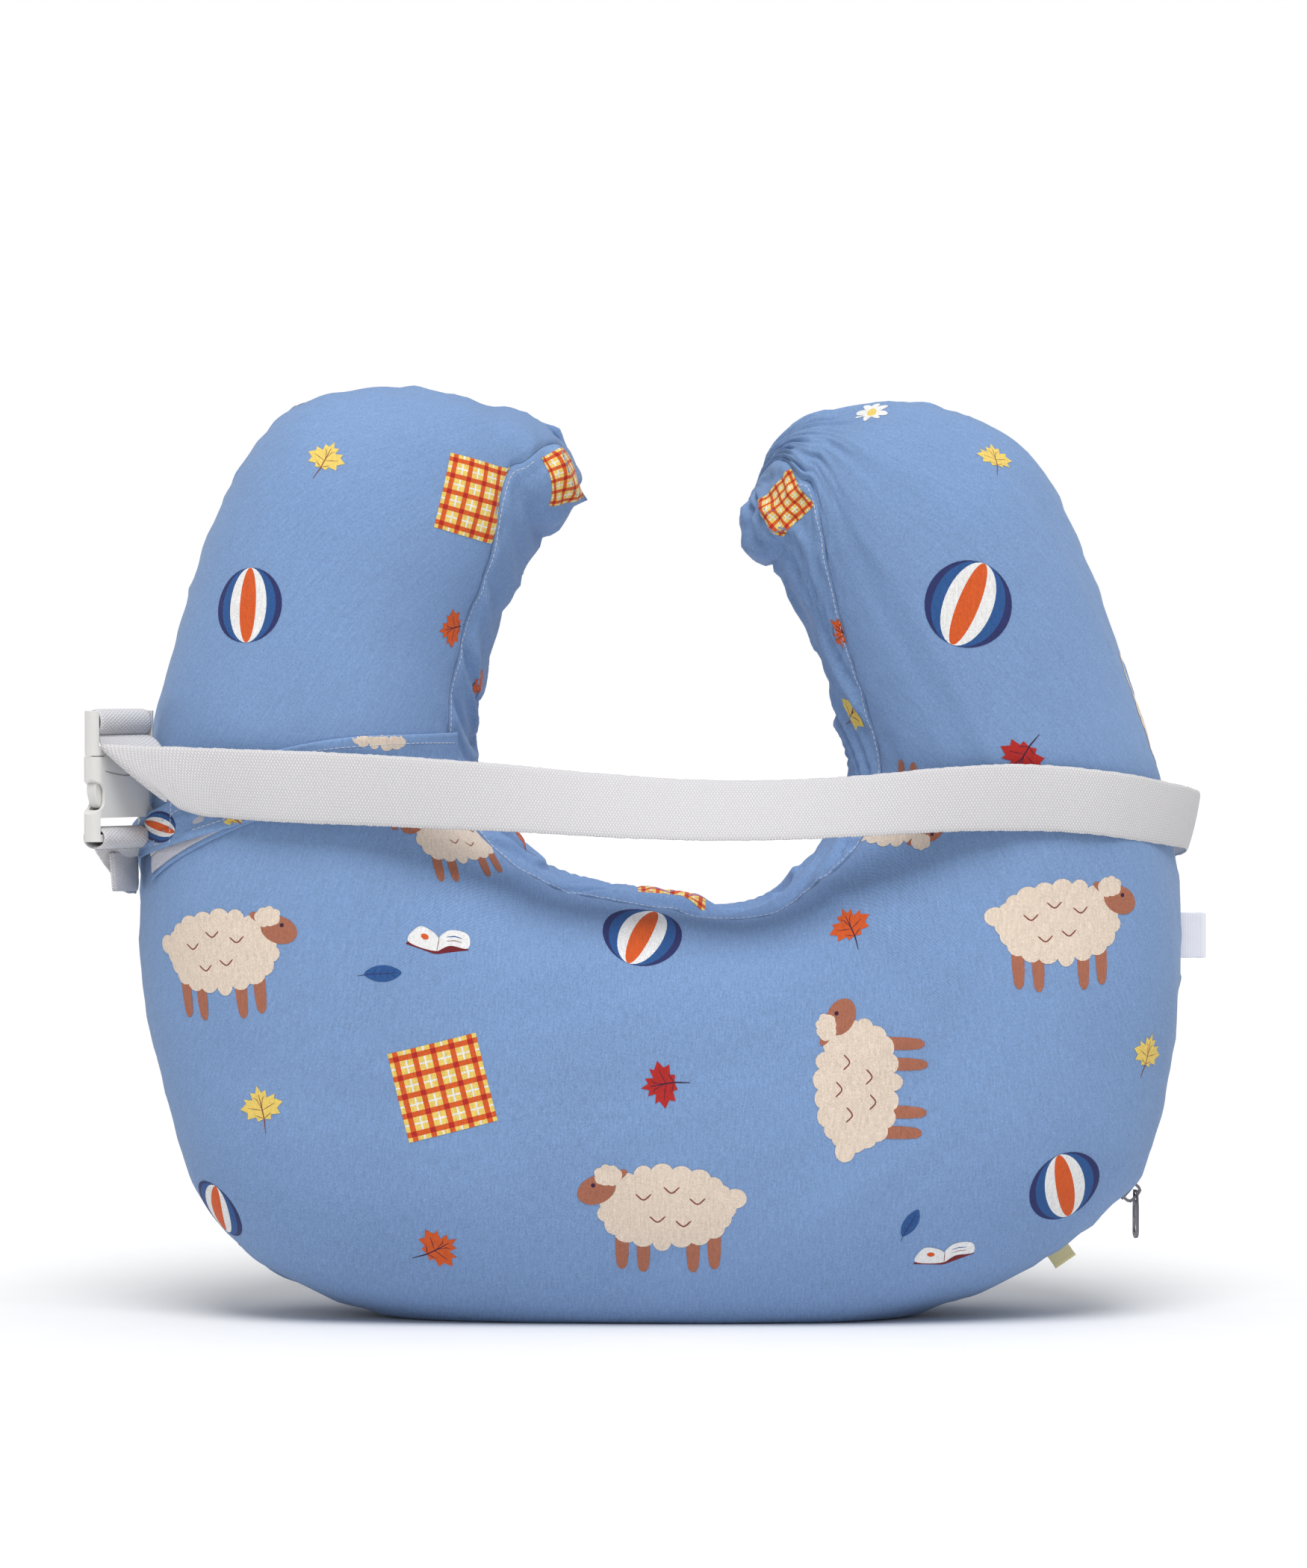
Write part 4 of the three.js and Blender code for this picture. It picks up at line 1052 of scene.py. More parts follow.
# The strap from its fold at the left to its sewn end, as points on its upper and lower edge.
STRAP_RUN = at_depth([
    [(-300.5, -73, 306), (-265.3, -77, 276.7)], [(-288, -74.5, 305.8), (-260, -78.4, 271.8)],
    [(-272, -76.5, 305.2), (-250, -80.4, 268.4)], [(-252, -80, 304.6), (-238, -83.5, 266.9)],
    [(-230, -86, 303.8), (-223, -89, 265.6)],
    [(-205, -91.5, 303), (-203, -93.4, 264.4)], [(-180, -93, 302), (-180, -94.6, 263.4)],
    [(-150, -92.4, 300.4), (-150, -94, 262.2)], [(-115, -88.5, 298), (-115, -92, 260.6)],
    [(-75, -83, 294.6), (-75, -92, 259)], [(-30, -77, 290.4), (-30, -92, 256.4)],
    [(15, -74, 287.2), (15, -92, 254.6)], [(60, -76, 287.2), (60, -92, 255)],
    [(105, -81, 289.6), (105, -91.5, 256.8)], [(145, -86.5, 293.4), (145, -91, 259)],
    [(180, -88.5, 295.6), (180, -90, 259.8)], [(208, -85, 295), (208, -86, 259.4)],
    [(232, -78, 292.6), (232, -79, 257.6)], [(253, -64, 289.6), (251, -65, 255)],
    [(270, -45, 286), (266, -46, 252.6)], [(282, -20, 283), (277, -21, 251)],
    [(287, 3, 280.6), (280, 3, 249.4)], [(283, 26, 279), (277.6, 26, 247.4)],
    [(273, 47, 278), (269.6, 48, 245.6)], [(256, 65, 277.4), (254, 65.5, 244)],
    [(238, 77, 277), (236, 77.5, 243.6)],
])


def along_pairs(pairs, spacing):
    """Pairs of edge points spread smoothly, one every spacing millimetres."""
    pairs = np.asarray(pairs, float)
    flat = pairs.reshape(len(pairs), 6)
    dense = catmull(flat, np.linspace(0, len(flat) - 1, (len(flat) - 1) * 40 + 1))
    middle = (dense[:, :3] + dense[:, 3:]) / 2
    run = run_of(middle)
    count = max(3, int(round(run[-1] / spacing)) + 1)
    even = np.linspace(0, run[-1], count)
    return np.stack([np.interp(even, run, column) for column in dense.T], 1).reshape(count, 2, 3), even


def webbing_piece(name, pairs, bow=0.0, spacing=2.2, thickness=WEB_THICKNESS, seed=0, material=WEBBING):
    """A strip of webbing between pairs of edge points in pillow mm. Bow lifts its middle."""
    pairs, run = along_pairs(pairs, spacing)
    middle = pairs.mean(axis=1)
    side = (pairs[:, 0] - pairs[:, 1]) / 2
    tangent = unit(np.gradient(middle, axis=0))
    normal = unit(np.cross(tangent, side))
    half_t = thickness / 2
    u = np.cos(np.linspace(0, math.pi, 15))
    top = np.column_stack([u * 0.985, np.full(15, half_t) * np.sqrt(np.clip(1 - np.abs(u) ** 24, 0.08, 1))])
    ring = np.vstack([top, [(-1.0, 0)], top[::-1] * np.array([1, -1]), [(1.0, 0)]])
    wave = noise1(run, 26, seed + 31) * 0.45 + noise1(run, 9, seed + 32) * 0.12
    bite = SELVEDGE / WEB_WIDTH * noise1(run, 1.6, seed + 33)
    rings = []
    for k in range(len(pairs)):
        across = ring[:, 0] * (1 + bite[k] * (np.abs(ring[:, 0]) > 0.9))
        lift = ring[:, 1] + bow * (1 - ring[:, 0] ** 2) + wave[k]
        rings.append(middle[k] + across[:, None] * side[k] + lift[:, None] * normal[k])
    rings = np.array(rings)
    width = np.linalg.norm(side, axis=1).mean()
    edge = np.append(ring[:, 0], ring[0, 0]) * width
    uv = np.stack(np.broadcast_arrays(run[:, None] * MM, edge[None] * MM), -1)
    return tube_object(name, row(rings), uv, [material])


FOLD_LINE = STRAP_RUN[0]
FOLD_OUT = np.array([-0.644, 0.0, -0.765])  # away from the strap, square to its diagonal fold


def rolled_fold(pairs, radius):
    """The half turn of webbing that ends in the first pair and comes from behind it."""
    turns = []
    for angle in (180, 150, 120, 90, 60, 30):
        a = math.radians(angle)
        behind = np.array([0, radius * (1 - math.cos(a)), 0])
        turns.append(pairs[0] + FOLD_OUT * radius * math.sin(a) + behind)
    return np.concatenate([turns, pairs])


strap = webbing_piece("waist_strap_webbing", rolled_fold(STRAP_RUN, 1.7), bow=0.8, spacing=1.7)
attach(strap, "root")
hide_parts("waist_strap")

# ---------------------------------------------------------------- buckle

BUCKLE_PLACE = (-287.2, -52.0, 256.0)
BUCKLE_HEIGHT = 0.972  # of the frame's own, as the photograph shows it
BUCKLE_TURN = math.radians(50)
BUCKLE_WIDTH, WEB_SLOT = 46, 38.8


def from_buckle(points):
    """The buckle's own frame to pillow mm: x across it, y into it, z up from its lower end."""
    points = np.asarray(points, float)
    c, s = math.cos(BUCKLE_TURN), math.sin(BUCKLE_TURN)
    x = points[..., 0] * c - points[..., 1] * s
    y = points[..., 0] * s + points[..., 1] * c
    return np.stack([x, y, points[..., 2] * BUCKLE_HEIGHT], -1) + np.array(BUCKLE_PLACE)


def lobed(width, depth, radius, per_corner=6):
    """A rounded rectangle in the plane, from its first corner round."""
    points = []
    right, top = width / 2 - radius, depth / 2 - radius
    for quarter, (cx, cy) in enumerate(((right, top), (-right, top), (-right, -top), (right, -top))):
        for k in range(per_corner + 1):
            a = math.radians(90 * quarter + 90 * k / per_corner)
            points.append((cx + radius * math.cos(a), cy + radius * math.sin(a)))
    return np.array(points)


def solid(points, faces):
    """A closed body that still has to be cut, rounded and named."""
    mesh = bpy.data.meshes.new("solid")
    mesh.from_pydata([tuple(p) for p in points], [], faces)
    mesh.update()
    obj = bpy.data.objects.new("solid", mesh)
    bpy.context.collection.objects.link(obj)
    return fix_normals(obj)


def prism(outline, low, high, axis=2):
    """An outline in the plane, drawn out between two levels along an axis."""
    count = len(outline)
    points = []
    for level in (low, high):
        for a, b in outline:
            point = [a, b]
            point.insert(axis, level)
            points.append(point)
    faces = [tuple(range(count)), tuple(range(2 * count - 1, count - 1, -1))]
    faces += [(k, (k + 1) % count, (k + 1) % count + count, k + count) for k in range(count)]
    return solid(points, faces)


def carve(base, tool, operation="DIFFERENCE"):
    """Cuts the tool out of the base, or joins it on, and deletes the tool."""
    modifier = base.modifiers.new("carve", "BOOLEAN")
    modifier.operation, modifier.object, modifier.solver = operation, tool, "EXACT"
    bake(base)
    bpy.data.objects.remove(tool, do_unlink=True)


def bake(obj):
    """Applies every modifier."""
    bpy.context.view_layer.update()
    evaluated = obj.evaluated_get(bpy.context.evaluated_depsgraph_get())
    mesh = bpy.data.meshes.new_from_object(evaluated)
    obj.modifiers.clear()
    old, obj.data = obj.data, mesh
    bpy.data.meshes.remove(old)
    return obj


def moulded(name, obj, radius, material, place=from_buckle, segments=3):
    """Rounds every sharp edge of a solid in millimetres and puts it in its place."""
    obj.name = obj.data.name = name
    rounding = obj.modifiers.new("round", "BEVEL")
    rounding.width, rounding.segments, rounding.limit_method = radius, segments, "ANGLE"
    rounding.angle_limit = math.radians(35)
    bake(obj)
    points = row(place(np.array([v.co for v in obj.data.vertices])))
    obj.data.vertices.foreach_set("co", points.astype(np.float32).ravel())
    obj.data.materials.clear()
    obj.data.materials.append(material)
    obj.data.polygons.foreach_set("use_smooth", np.ones(len(obj.data.polygons), bool))
    obj.data.update()
    weighted = obj.modifiers.new("shade", "WEIGHTED_NORMAL")
    weighted.keep_sharp = True
    return bake(obj)


def block(x, y, z):
    """A box between two values along each axis."""
    return prism([(x[0], y[0]), (x[1], y[0]), (x[1], y[1]), (x[0], y[1])], *z)


def make_socket():
    """The female housing, with its mouth, the slot of its bar, two side windows and a groove
    on each face."""
    body = prism(lobed(BUCKLE_WIDTH, 11.5, 4.6), 0, 46)
    # The crown only passes above the mouth, but without it the bevel's corners shift by up to 0.2 mm.
    crown = prism([(-60, 46.5), (-60, 47), (60, 47), (60, 46.5)], -20, 20, axis=1)
    carve(body, crown)
    carve(body, prism(lobed(39.6, 7.6, 2.0), 15, 60))
    carve(body, prism(lobed(WEB_SLOT, 30, 0.6), 4, 13))
    for side in (-1, 1):
        outline = rounded([(side * 25, 15.4), (side * 20.5, 16.8), (side * 17.2, 19.5), (side * 16.6, 24.5),
                           (side * 17.2, 29.5), (side * 20.5, 32.2), (side * 25, 33.6)], True, 5)
        carve(body, prism(outline, -20, 20, axis=1))
    arrow = rounded([(-14.5, 37.5), (0, 35.4), (14.5, 37.5), (14.5, 38.4), (0, 36.3), (-14.5, 38.4)])
    for side in (-1, 1):
        carve(body, prism(arrow, side * 5.2 - 0.55, side * 5.2 + 0.55, axis=1))
    return moulded("buckle_socket_shell", body, 0.7, BUCKLE)


def make_plug():
    """The male half: a frame with a bar for the strap, and its guide tongue."""
    body = prism(lobed(BUCKLE_WIDTH, 10, 4.2), 46.4, 70.8)
    carve(body, prism(lobed(WEB_SLOT, 30, 1.2), 51.6, 90))
    carve(body, block((-20.4, 20.4), (-2.6, 2.6), (60, 68.4)), operation="UNION")
    tongue = rounded([(-5, 46.9), (5, 46.9), (4.4, 30), (3.0, 24.6), (-3.0, 24.6), (-4.4, 30)], True, 5)
    carve(body, prism(tongue, -2.8, 2.8, axis=1), operation="UNION")
    return moulded("buckle_plug_shell", body, 0.7, BUCKLE)


def make_latch(name, side):
    """One flexing arm of the male half, with the shoulder that catches in the side window."""
    outline = [(side * x, z) for x, z in rounded([
        (13.8, 46.0), (17.8, 46.0), (18.9, 38.0), (19.2, 33.4), (20.9, 30.6), (21.0, 26.4),
        (19.2, 21.0), (17.0, 18.4), (14.4, 18.8), (14.6, 24.0), (15.4, 30.0), (14.6, 38.0)], True, 5)]
    return moulded(name, prism(outline, -3.3, 3.3, axis=1), 0.6, BUCKLE)


for piece, body, node in (
        (make_socket(), "root", "buckle_socket"), (make_plug(), "buckle_plug", "buckle_plug"),
        (make_latch("latch_left_arm", -1), "latch_left", "latch_arm_left"),
        (make_latch("latch_right_arm", 1), "latch_right", "latch_arm_right")):
    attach(piece, body)
    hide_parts(node)


def web_ring(height, half_depth, half_height, start, end, count=34):
    """The webbing's way round one of the buckle's bars as pairs, between two angles: 0 is
    above the bar and 90 behind it."""
    half = WEB_WIDTH / 2 - 0.2
    pairs = []
    for angle in np.linspace(start, end, count):
        a = math.radians(angle)
        y, z = half_depth * math.sin(a), height + half_height * math.cos(a)
        pairs.append(from_buckle([(-half, y, z), (half, y, z)]))
    return pairs


BAR_HEIGHT = 64.25  # the plug's bar, in the buckle's own frame
BAR_REACH = 6.35  # how far above and below the bar's middle the webbing goes round it


def make_strap_turn():
    """The strap from behind its diagonal fold up to the plug, round its bar and down again."""
    high, low = FOLD_LINE + np.array([0, 3.4, 0])
    under = BAR_HEIGHT - BAR_REACH
    pairs = [np.array([high, low]),
             np.array([from_buckle((-18.8, -4.4, under - 4.5)), (-263, -74, 284)]),
             from_buckle([(-18.8, -3.6, under - 2.2), (17.5, -14, under - 7)])]
    pairs += web_ring(BAR_HEIGHT, 4.95, BAR_REACH, 188, 520)
    obj = webbing_piece("strap_turn_webbing", pairs, spacing=1.2, seed=5)
    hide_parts("strap_turn")
    start, end = row((-285, -60, 292)), row((-285, -60, 307))
    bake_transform(obj)


def make_tether():
    """The tether from the seam to the socket's bar, round it, and its doubled end."""
    seam = [
        [(-282.6, -3, 226), (-281.4, -3, 262)], [(-289, -22, 229), (-283.5, -11, 257)],
        [(-294, -42, 240), (-281.5, -22, 252)], [(-297, -58, 247), (-279, -32, 248)],
    ]
    seam.append(from_buckle([(-18.8, 0.4, -3.4), (18.8, 0.4, -3.4)]))
    strip_piece = webbing_piece("tether_strip", seam, spacing=1.4, seed=7)
    ring = web_ring(2.0, 7.6, 5.2, 170, 530, 40)
    ring_piece = webbing_piece("tether_ring", ring, spacing=1.3, seed=8)
    tail = [[(-292, -59, 250), (-281, -27, 250)], [(-291.5, -59.5, 243), (-280.8, -27.5, 243)],
            [(-291, -59.8, 236), (-280.6, -28, 236)], [(-290.6, -59.6, 230.4), (-280.8, -28.4, 229.6)]]
    back = [np.array(pair) + (1.6, 1.2, 0) for pair in tail[::-1]]
    tail_piece = webbing_piece("tether_tail", [np.array(p) for p in tail] + back, spacing=1.3, seed=9)
    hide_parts("tether_webbing")
    for piece in (strip_piece, ring_piece, tail_piece):
        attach(piece, "root")


make_strap_turn()
make_tether()


# ---------------------------------------------------------------- arm band

def place_on_skin(x, z):
    """The place on the front panel seen at x and z, to a fraction of a cell."""
    i, j = SKIN.find(x, z, "front")

    def view(a, b):
        return seen(SKIN.at(SKIN.smooth, np.array([a]), np.array([b])))[0]

    for _ in range(4):
        slopes = np.column_stack([view(i + 0.5, j) - view(i - 0.5, j), view(i, j + 0.5) - view(i, j - 0.5)])
        if abs(np.linalg.det(slopes)) < 1.2:
            break
        step = np.clip(np.linalg.solve(slopes, (x, z) - view(i, j)), -1, 1)
        i, j = i + step[0], j + step[1]
    return i, j


def cloth_layer(name, upper, lower, lift, thickness, colour, node, samples, across, ripple, seed):
    """A flat layer of cloth on the left arm between two edges of x and z points. Lift is how far
    it stands off the skin at the start and the end of both edges, in millimetres."""
    edges = []
    for points in (upper, lower):
        places = np.array([place_on_skin(x, z) for x, z in points])
        edges.append(catmull(places, np.linspace(0, len(places) - 1, samples)))
    share = np.linspace(0, 1, across)
    places = edges[0][:, None] * (1 - share[None, :, None]) + edges[1][:, None] * share[None, :, None]
    i, j = places[..., 0].ravel(), places[..., 1].ravel()
    _, _, normal = SKIN.frame_at(SKIN.smooth, i, j)
    base, cover = SKIN.at(SKIN.smooth, i, j), SKIN.at(SKIN.final, i, j)
    (a, b), (c, d) = lift
    t = np.linspace(0, 1, samples)[:, None]
    height = (a * (1 - t) + c * t) * (1 - share) + (b * (1 - t) + d * t) * share
    wrinkle = noise2(t * 160 + 40 * share, share[None] * 40, 14, 60 + seed)
    wrinkle = wrinkle + 0.6 * noise2(t * 160, share[None] * 70, 6, 61 + seed)
    height = height + ripple * wrinkle * (0.35 + 1.6 * t**3)
    lifted = base + normal * (height.reshape(-1, 1) * MM)
    clear = np.sum((lifted - cover) * normal, axis=1)
    lifted += normal * np.maximum(0.6 * MM - clear, 0)[:, None]
    return slab(name, lifted.reshape(samples, across, 3), thickness * MM, colour, node)


def slab(name, grid, thickness, material, node):
    """Cloth with thickness and soft edges round a grid of middle points, in metres."""
    normal = normals_of(grid)
    half = thickness / 2
    length = unit(np.gradient(grid, axis=0))
    width = unit(np.gradient(grid, axis=1))
    rings = []
    stretch = [(k, 0, 1) for k in range(len(grid))]
    for k, along, thick in [(0, -1.0, 0.25), (0, -0.7, 0.75)] + stretch + [(-1, 0.7, 0.75), (-1, 1.0, 0.25)]:
        line = grid[k] + length[k] * along * half
        top, under = line + normal[k] * half * thick, line - normal[k] * half * thick
        first = line[:1] - width[k][:1] * half
        last = line[-1:] + width[k][-1:] * half
        rings.append(np.concatenate([top, last, under[::-1], first]))
    rings = np.array(rings)
    closed = np.concatenate([rings, rings[:, :1]], axis=1)
    u = run_of(rings[:, rings.shape[1] // 4])
    v = run_of(closed, 1)
    uv = np.stack([np.repeat(u[:, None], v.shape[1], 1), v], -1)
    obj = tube_object(name, rings, uv, [material])
    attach(obj, "root")
    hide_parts(node)
    return obj


# The band's edges on the left arm as seen from the front, x and z in pillow mm.
FLAP_TOP = [(-101, 309), (-112, 311.5), (-140, 311), (-184, 307.5),
            (-215, 300), (-243, 287), (-266, 272), (-279, 262)]
FLAP_LOW = [(-99, 273), (-108, 273), (-140, 272), (-184, 270.5),
            (-216, 266.5), (-233, 261.5), (-254, 254.5), (-276, 245.5)]
UNDER_TOP = [(-192, 301), (-222, 292), (-248, 279), (-272, 262)]
UNDER_LOW = [(-196, 271), (-217, 266), (-240, 256), (-272, 234.5)]


def inset(points, dx, dz):
    """Edge points moved sideways and up."""
    return [(x + dx, z + dz) for x, z in points]


cloth_layer("arm_band_under", UNDER_TOP, UNDER_LOW, ((1.2, 1.2), (1.6, 1.8)), 1.1, COTTON["ground"],
            "arm_band_under_layer", 50, 20, 0.3, 1)
loop_patch = cloth_layer("loop_patch_pile", inset(UNDER_TOP[1:], 1, -3), inset(UNDER_LOW[1:], 1, 3.2),
                         ((2.4, 2.4), (2.9, 3.1)), 0.9, HOOK_LOOP, "loop_patch", 40, 16, 0.2, 2)
hook_patch = cloth_layer("hook_patch_pile", inset(UNDER_TOP[1:], 1, 2), inset(UNDER_LOW[1:], 1, 12),
                         ((3.6, 3.6), (4.1, 4.3)), 0.8, HOOK_LOOP, "hook_patch", 40, 16, 0.2, 3)
flap = cloth_layer("arm_band_flap_cloth", FLAP_TOP, FLAP_LOW, ((1.0, 1.0), (4.9, 5.6)), 1.2, COTTON["ground"],
                   "arm_band_flap", 150, 30, 0.75, 4)


class Hit:
    """Finds points on pieces as seen from the front."""

    def __init__(self, obj):
        corners = [v.co.copy() for v in obj.data.vertices]
        self.tree = BVHTree.FromPolygons(corners, [p.vertices[:] for p in obj.data.polygons])

    def front(self, x, z):
        """The nearest point and its normal where the camera sees x and z, or None."""
        aim = np.array([x, z]) - FRAME_MIDDLE
        target = FRAME_CENTRE + np.array([aim[0], 0, 0]) * MM + VIEW_UP * aim[1] * MM
        eye = FRAME_CENTRE - VIEW_AHEAD * CAMERA_DISTANCE
        place, normal, _, _ = self.tree.ray_cast(Vector(eye), Vector(target - eye).normalized())
        return None if place is None else (np.array(place), np.array(normal))


EDGE_ON = -0.15  # motifs stop where a normal's y is past this, as the cloth faces sideways there


def print_on(name, obj, motifs):
    """Motifs laid straight on the front of a small piece and cut off at its edges."""
    hit = Hit(obj)
    points, faces, slots, uv = [], [], [], []
    for x, z, kind, angle, size in motifs:
        motif = MOTIFS[kind]
        flat = turned(motif.points * size, angle) + (x, z)
        found = [hit.front(a, b) for a, b in flat]
        index = {}
        for triangle, colour in zip(motif.triangles, motif.colours):
            if any(found[k] is None or found[k][1][1] > EDGE_ON for k in triangle):
                continue
            corners = []
            for k in triangle:
                if k not in index:
                    index[k] = len(points)
                    points.append(found[k][0] + found[k][1] * 0.12 * MM)
                corners.append(index[k])
                uv.append(flat[k] * MM)
            faces.append(corners)
            slots.append(PALETTE.index(colour))
    piece = mesh_object(name, points, faces, [COTTON[c] for c in PALETTE], uv, slots)
    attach(piece, "root")


print_on("print_flap", flap, [(-226, 263.5, "yellow_leaf", 60, 0.95), (-153, 309, "tuft", 0, 1.0),
                              (-270, 262, "ball", 70, 0.5)])


# ---------------------------------------------------------------- stitches

STITCH_LENGTH, STITCH_GAP, STITCH_WIDTH, STITCH_HEIGHT = 2.3, 0.75, 0.42, 0.22  # mm
GUSSET_STITCH_INSET = 2.2  # mm from the gusset's seams


def thread_run(points, normals):
    """The stitches along a line of points in metres: small rounded bars, half sunk in the cloth."""
    run = run_of(points) / MM
    starts = np.arange(0.4, run[-1] - STITCH_LENGTH, STITCH_LENGTH + STITCH_GAP)
    vertices, faces = [], []
    profile = [(-1.0, -0.6), (-0.62, 0.75), (0.62, 0.75), (1.0, -0.6)]
    for start in starts:
        base = len(vertices)
        for share, size in ((0, 0.3), (0.12, 0.8), (0.5, 1.0), (0.88, 0.8), (1, 0.3)):
            at = start + share * STITCH_LENGTH
            place = np.array([np.interp(at, run, points[:, k]) for k in range(3)])
            ahead = np.array([np.interp(at + 0.2, run, points[:, k]) for k in range(3)])
            normal = unit(np.array([np.interp(at, run, normals[:, k]) for k in range(3)]))
            tangent = unit(ahead - place)
            side = np.cross(tangent, normal)
            for a, b in profile:
                sideways = side * a * STITCH_WIDTH / 2 * MM * size
                vertices.append(place + sideways + normal * b * STITCH_HEIGHT * MM * size)
        for k in range(4):
            for m in range(3):
                p = base + 4 * k + m
                faces.append((p, p + 1, p + 5, p + 4))
    return vertices, faces


def stitches(name, runs):
    """One piece of thread along several lines, each a pair of points and normals."""
    vertices, faces = [], []
    for points, normals in runs:
        more, cells = thread_run(points, normals)
        faces += [tuple(k + len(vertices) for k in face) for face in cells]
        vertices += more
    uv = [(vertices[k][0], vertices[k][2]) for face in faces for k in face]
    obj = mesh_object(name, vertices, faces, [THREAD_PALE], uv)
    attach(obj, "root")


def gusset_run(seam, inward):
    """A line on the gusset beside one of its seams, nearly from tip to tip. Inward is 1 or -1."""
    rows = len(SKIN.final)
    i = np.linspace(0.03 * (rows - 1), 0.97 * (rows - 1), 700)
    column = np.full_like(i, seam)
    _, across, _ = SKIN.frame_at(SKIN.final, i, column)
    step = GUSSET_STITCH_INSET * MM / np.maximum(np.linalg.norm(across, axis=1), 1e-6)
    j = column + inward * np.minimum(step, 3)
    _, _, normal = SKIN.frame_at(SKIN.final, i, j)
    return SKIN.at(SKIN.final, i, j) + normal * 0.1 * MM, normal


def run_on(obj, points):
    """A line on a piece through points of x and z as seen from the front."""
    hit = Hit(obj)
    dense = catmull(points, np.linspace(0, len(points) - 1, 220))
    found = [f for f in (hit.front(x, z) for x, z in dense) if f is not None]
    return np.array([p + n * 0.1 * MM for p, n in found]), np.array([n for _, n in found])


stitches("gusset_stitches", [gusset_run(SKIN.seams[0], 1), gusset_run(SKIN.seams[1], -1)])
stitches("flap_stitches", [
    run_on(flap, inset(FLAP_LOW[1:-1], 0, 5.5)), run_on(flap, inset(FLAP_TOP[1:-1], 0, -4.5)),
    run_on(flap, [(-264, 275), (-264.5, 262), (-265, 250)]),
])

# ---------------------------------------------------------------- zip


def outer_line(places, y, depth):
    """Points of the zip, in row metres: at fine rows along the pillow, y from the middle plane
    and below the skin, both in millimetres."""
    j = np.zeros_like(places)
    seam = SKIN.at(SKIN.smooth, places, j)
    along, _, normal = SKIN.frame_at(SKIN.smooth, places, j)
    side = np.array([0.0, 1.0, 0.0])
    out = unit(normal - normal[:, 1:2] * side)
    drop = y**2 / 180.0  # follows the skin's curve away from the middle plane
    points = seam + side * (y[..., None] * MM) - out * ((depth + drop)[..., None] * MM)
    return points, out, along


FINE = fine_places()
ZIP_ROWS = np.interp(ZIP_SPAN, FINE, np.arange(len(FINE)))


def wire(points, reference, radius, sides=5):
    """A round wire along points in metres."""
    tangent = unit(np.gradient(points, axis=0))
    first = unit(np.cross(tangent, reference))
    second = np.cross(tangent, first)
    a = np.linspace(0, math.tau, sides, endpoint=False)
    return (points[:, None] + radius * (first[:, None] * np.cos(a)[None, :, None]
                                        + second[:, None] * np.sin(a)[None, :, None]))


COIL_PITCH, COIL_STEPS, COIL_WIRE = 1.35, 9, 0.3  # mm, points for each turn, mm


def make_teeth(side, node):
    """One side's coil: a nylon wire that winds along the zip and hooks past the middle."""
    ends = np.linspace(ZIP_ROWS[0] + 2, ZIP_ROWS[1] - 2, 4000)
    line, _, _ = outer_line(ends, np.zeros(4000), np.zeros(4000))
    run = run_of(line) / MM
    turns = int(run[-1] / COIL_PITCH)
    t = np.linspace(0, turns, turns * COIL_STEPS + 1)
    at = np.interp(t * COIL_PITCH, run, ends)
    phase = math.tau * t + (0 if side < 0 else math.pi)
    y = side * (1.15 + 1.45 * np.cos(phase))
    depth = 1.7 - 0.62 * np.sin(phase) + 0.12
    points, out, _ = outer_line(at, y, depth)
    rings = wire(points, out, COIL_WIRE * MM)
    u = np.repeat((t * COIL_PITCH * MM)[:, None], 6, 1)
    obj = tube_object(f"zip_coil_{'front' if side < 0 else 'back'}", rings, np.stack([u, u * 0], -1), [NYLON])
    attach(obj, "root")
    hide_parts(node)


def make_tape(side, node):
    """One side's woven tape, under its coil."""
    rows = np.linspace(ZIP_ROWS[0] - 1.5, ZIP_ROWS[1] + 1.5, 260)
    y = np.linspace(0.6, 10.5, 8)
    grid = np.stack([outer_line(rows, np.full(260, side * v), np.full(260, 2.5 + 0.16 * v))[0] for v in y], 1)
    slab(f"zip_tape_{'front' if side < 0 else 'back'}", grid, 0.5 * MM, ZIP_TAPE, node)


for side, name in ((-1, "front"), (1, "back")):
    make_teeth(side, f"zipper_teeth_{name}")
    make_tape(side, f"zipper_tape_{name}")


SLIDER_ANGLE = -41.5  # where the slider rests on the zip's arc, in degrees


def on_slider(points):
    """The slider's own frame, x along the zip and z out of the pillow, to pillow mm."""
    x, z = on_zip_arc(SLIDER_ANGLE)
    c, s = math.cos(math.radians(90 - SLIDER_ANGLE)), math.sin(math.radians(90 - SLIDER_ANGLE))
    return np.stack([points[..., 0] * c + points[..., 2] * s + x, points[..., 1],
                     -points[..., 0] * s + points[..., 2] * c + z], -1)


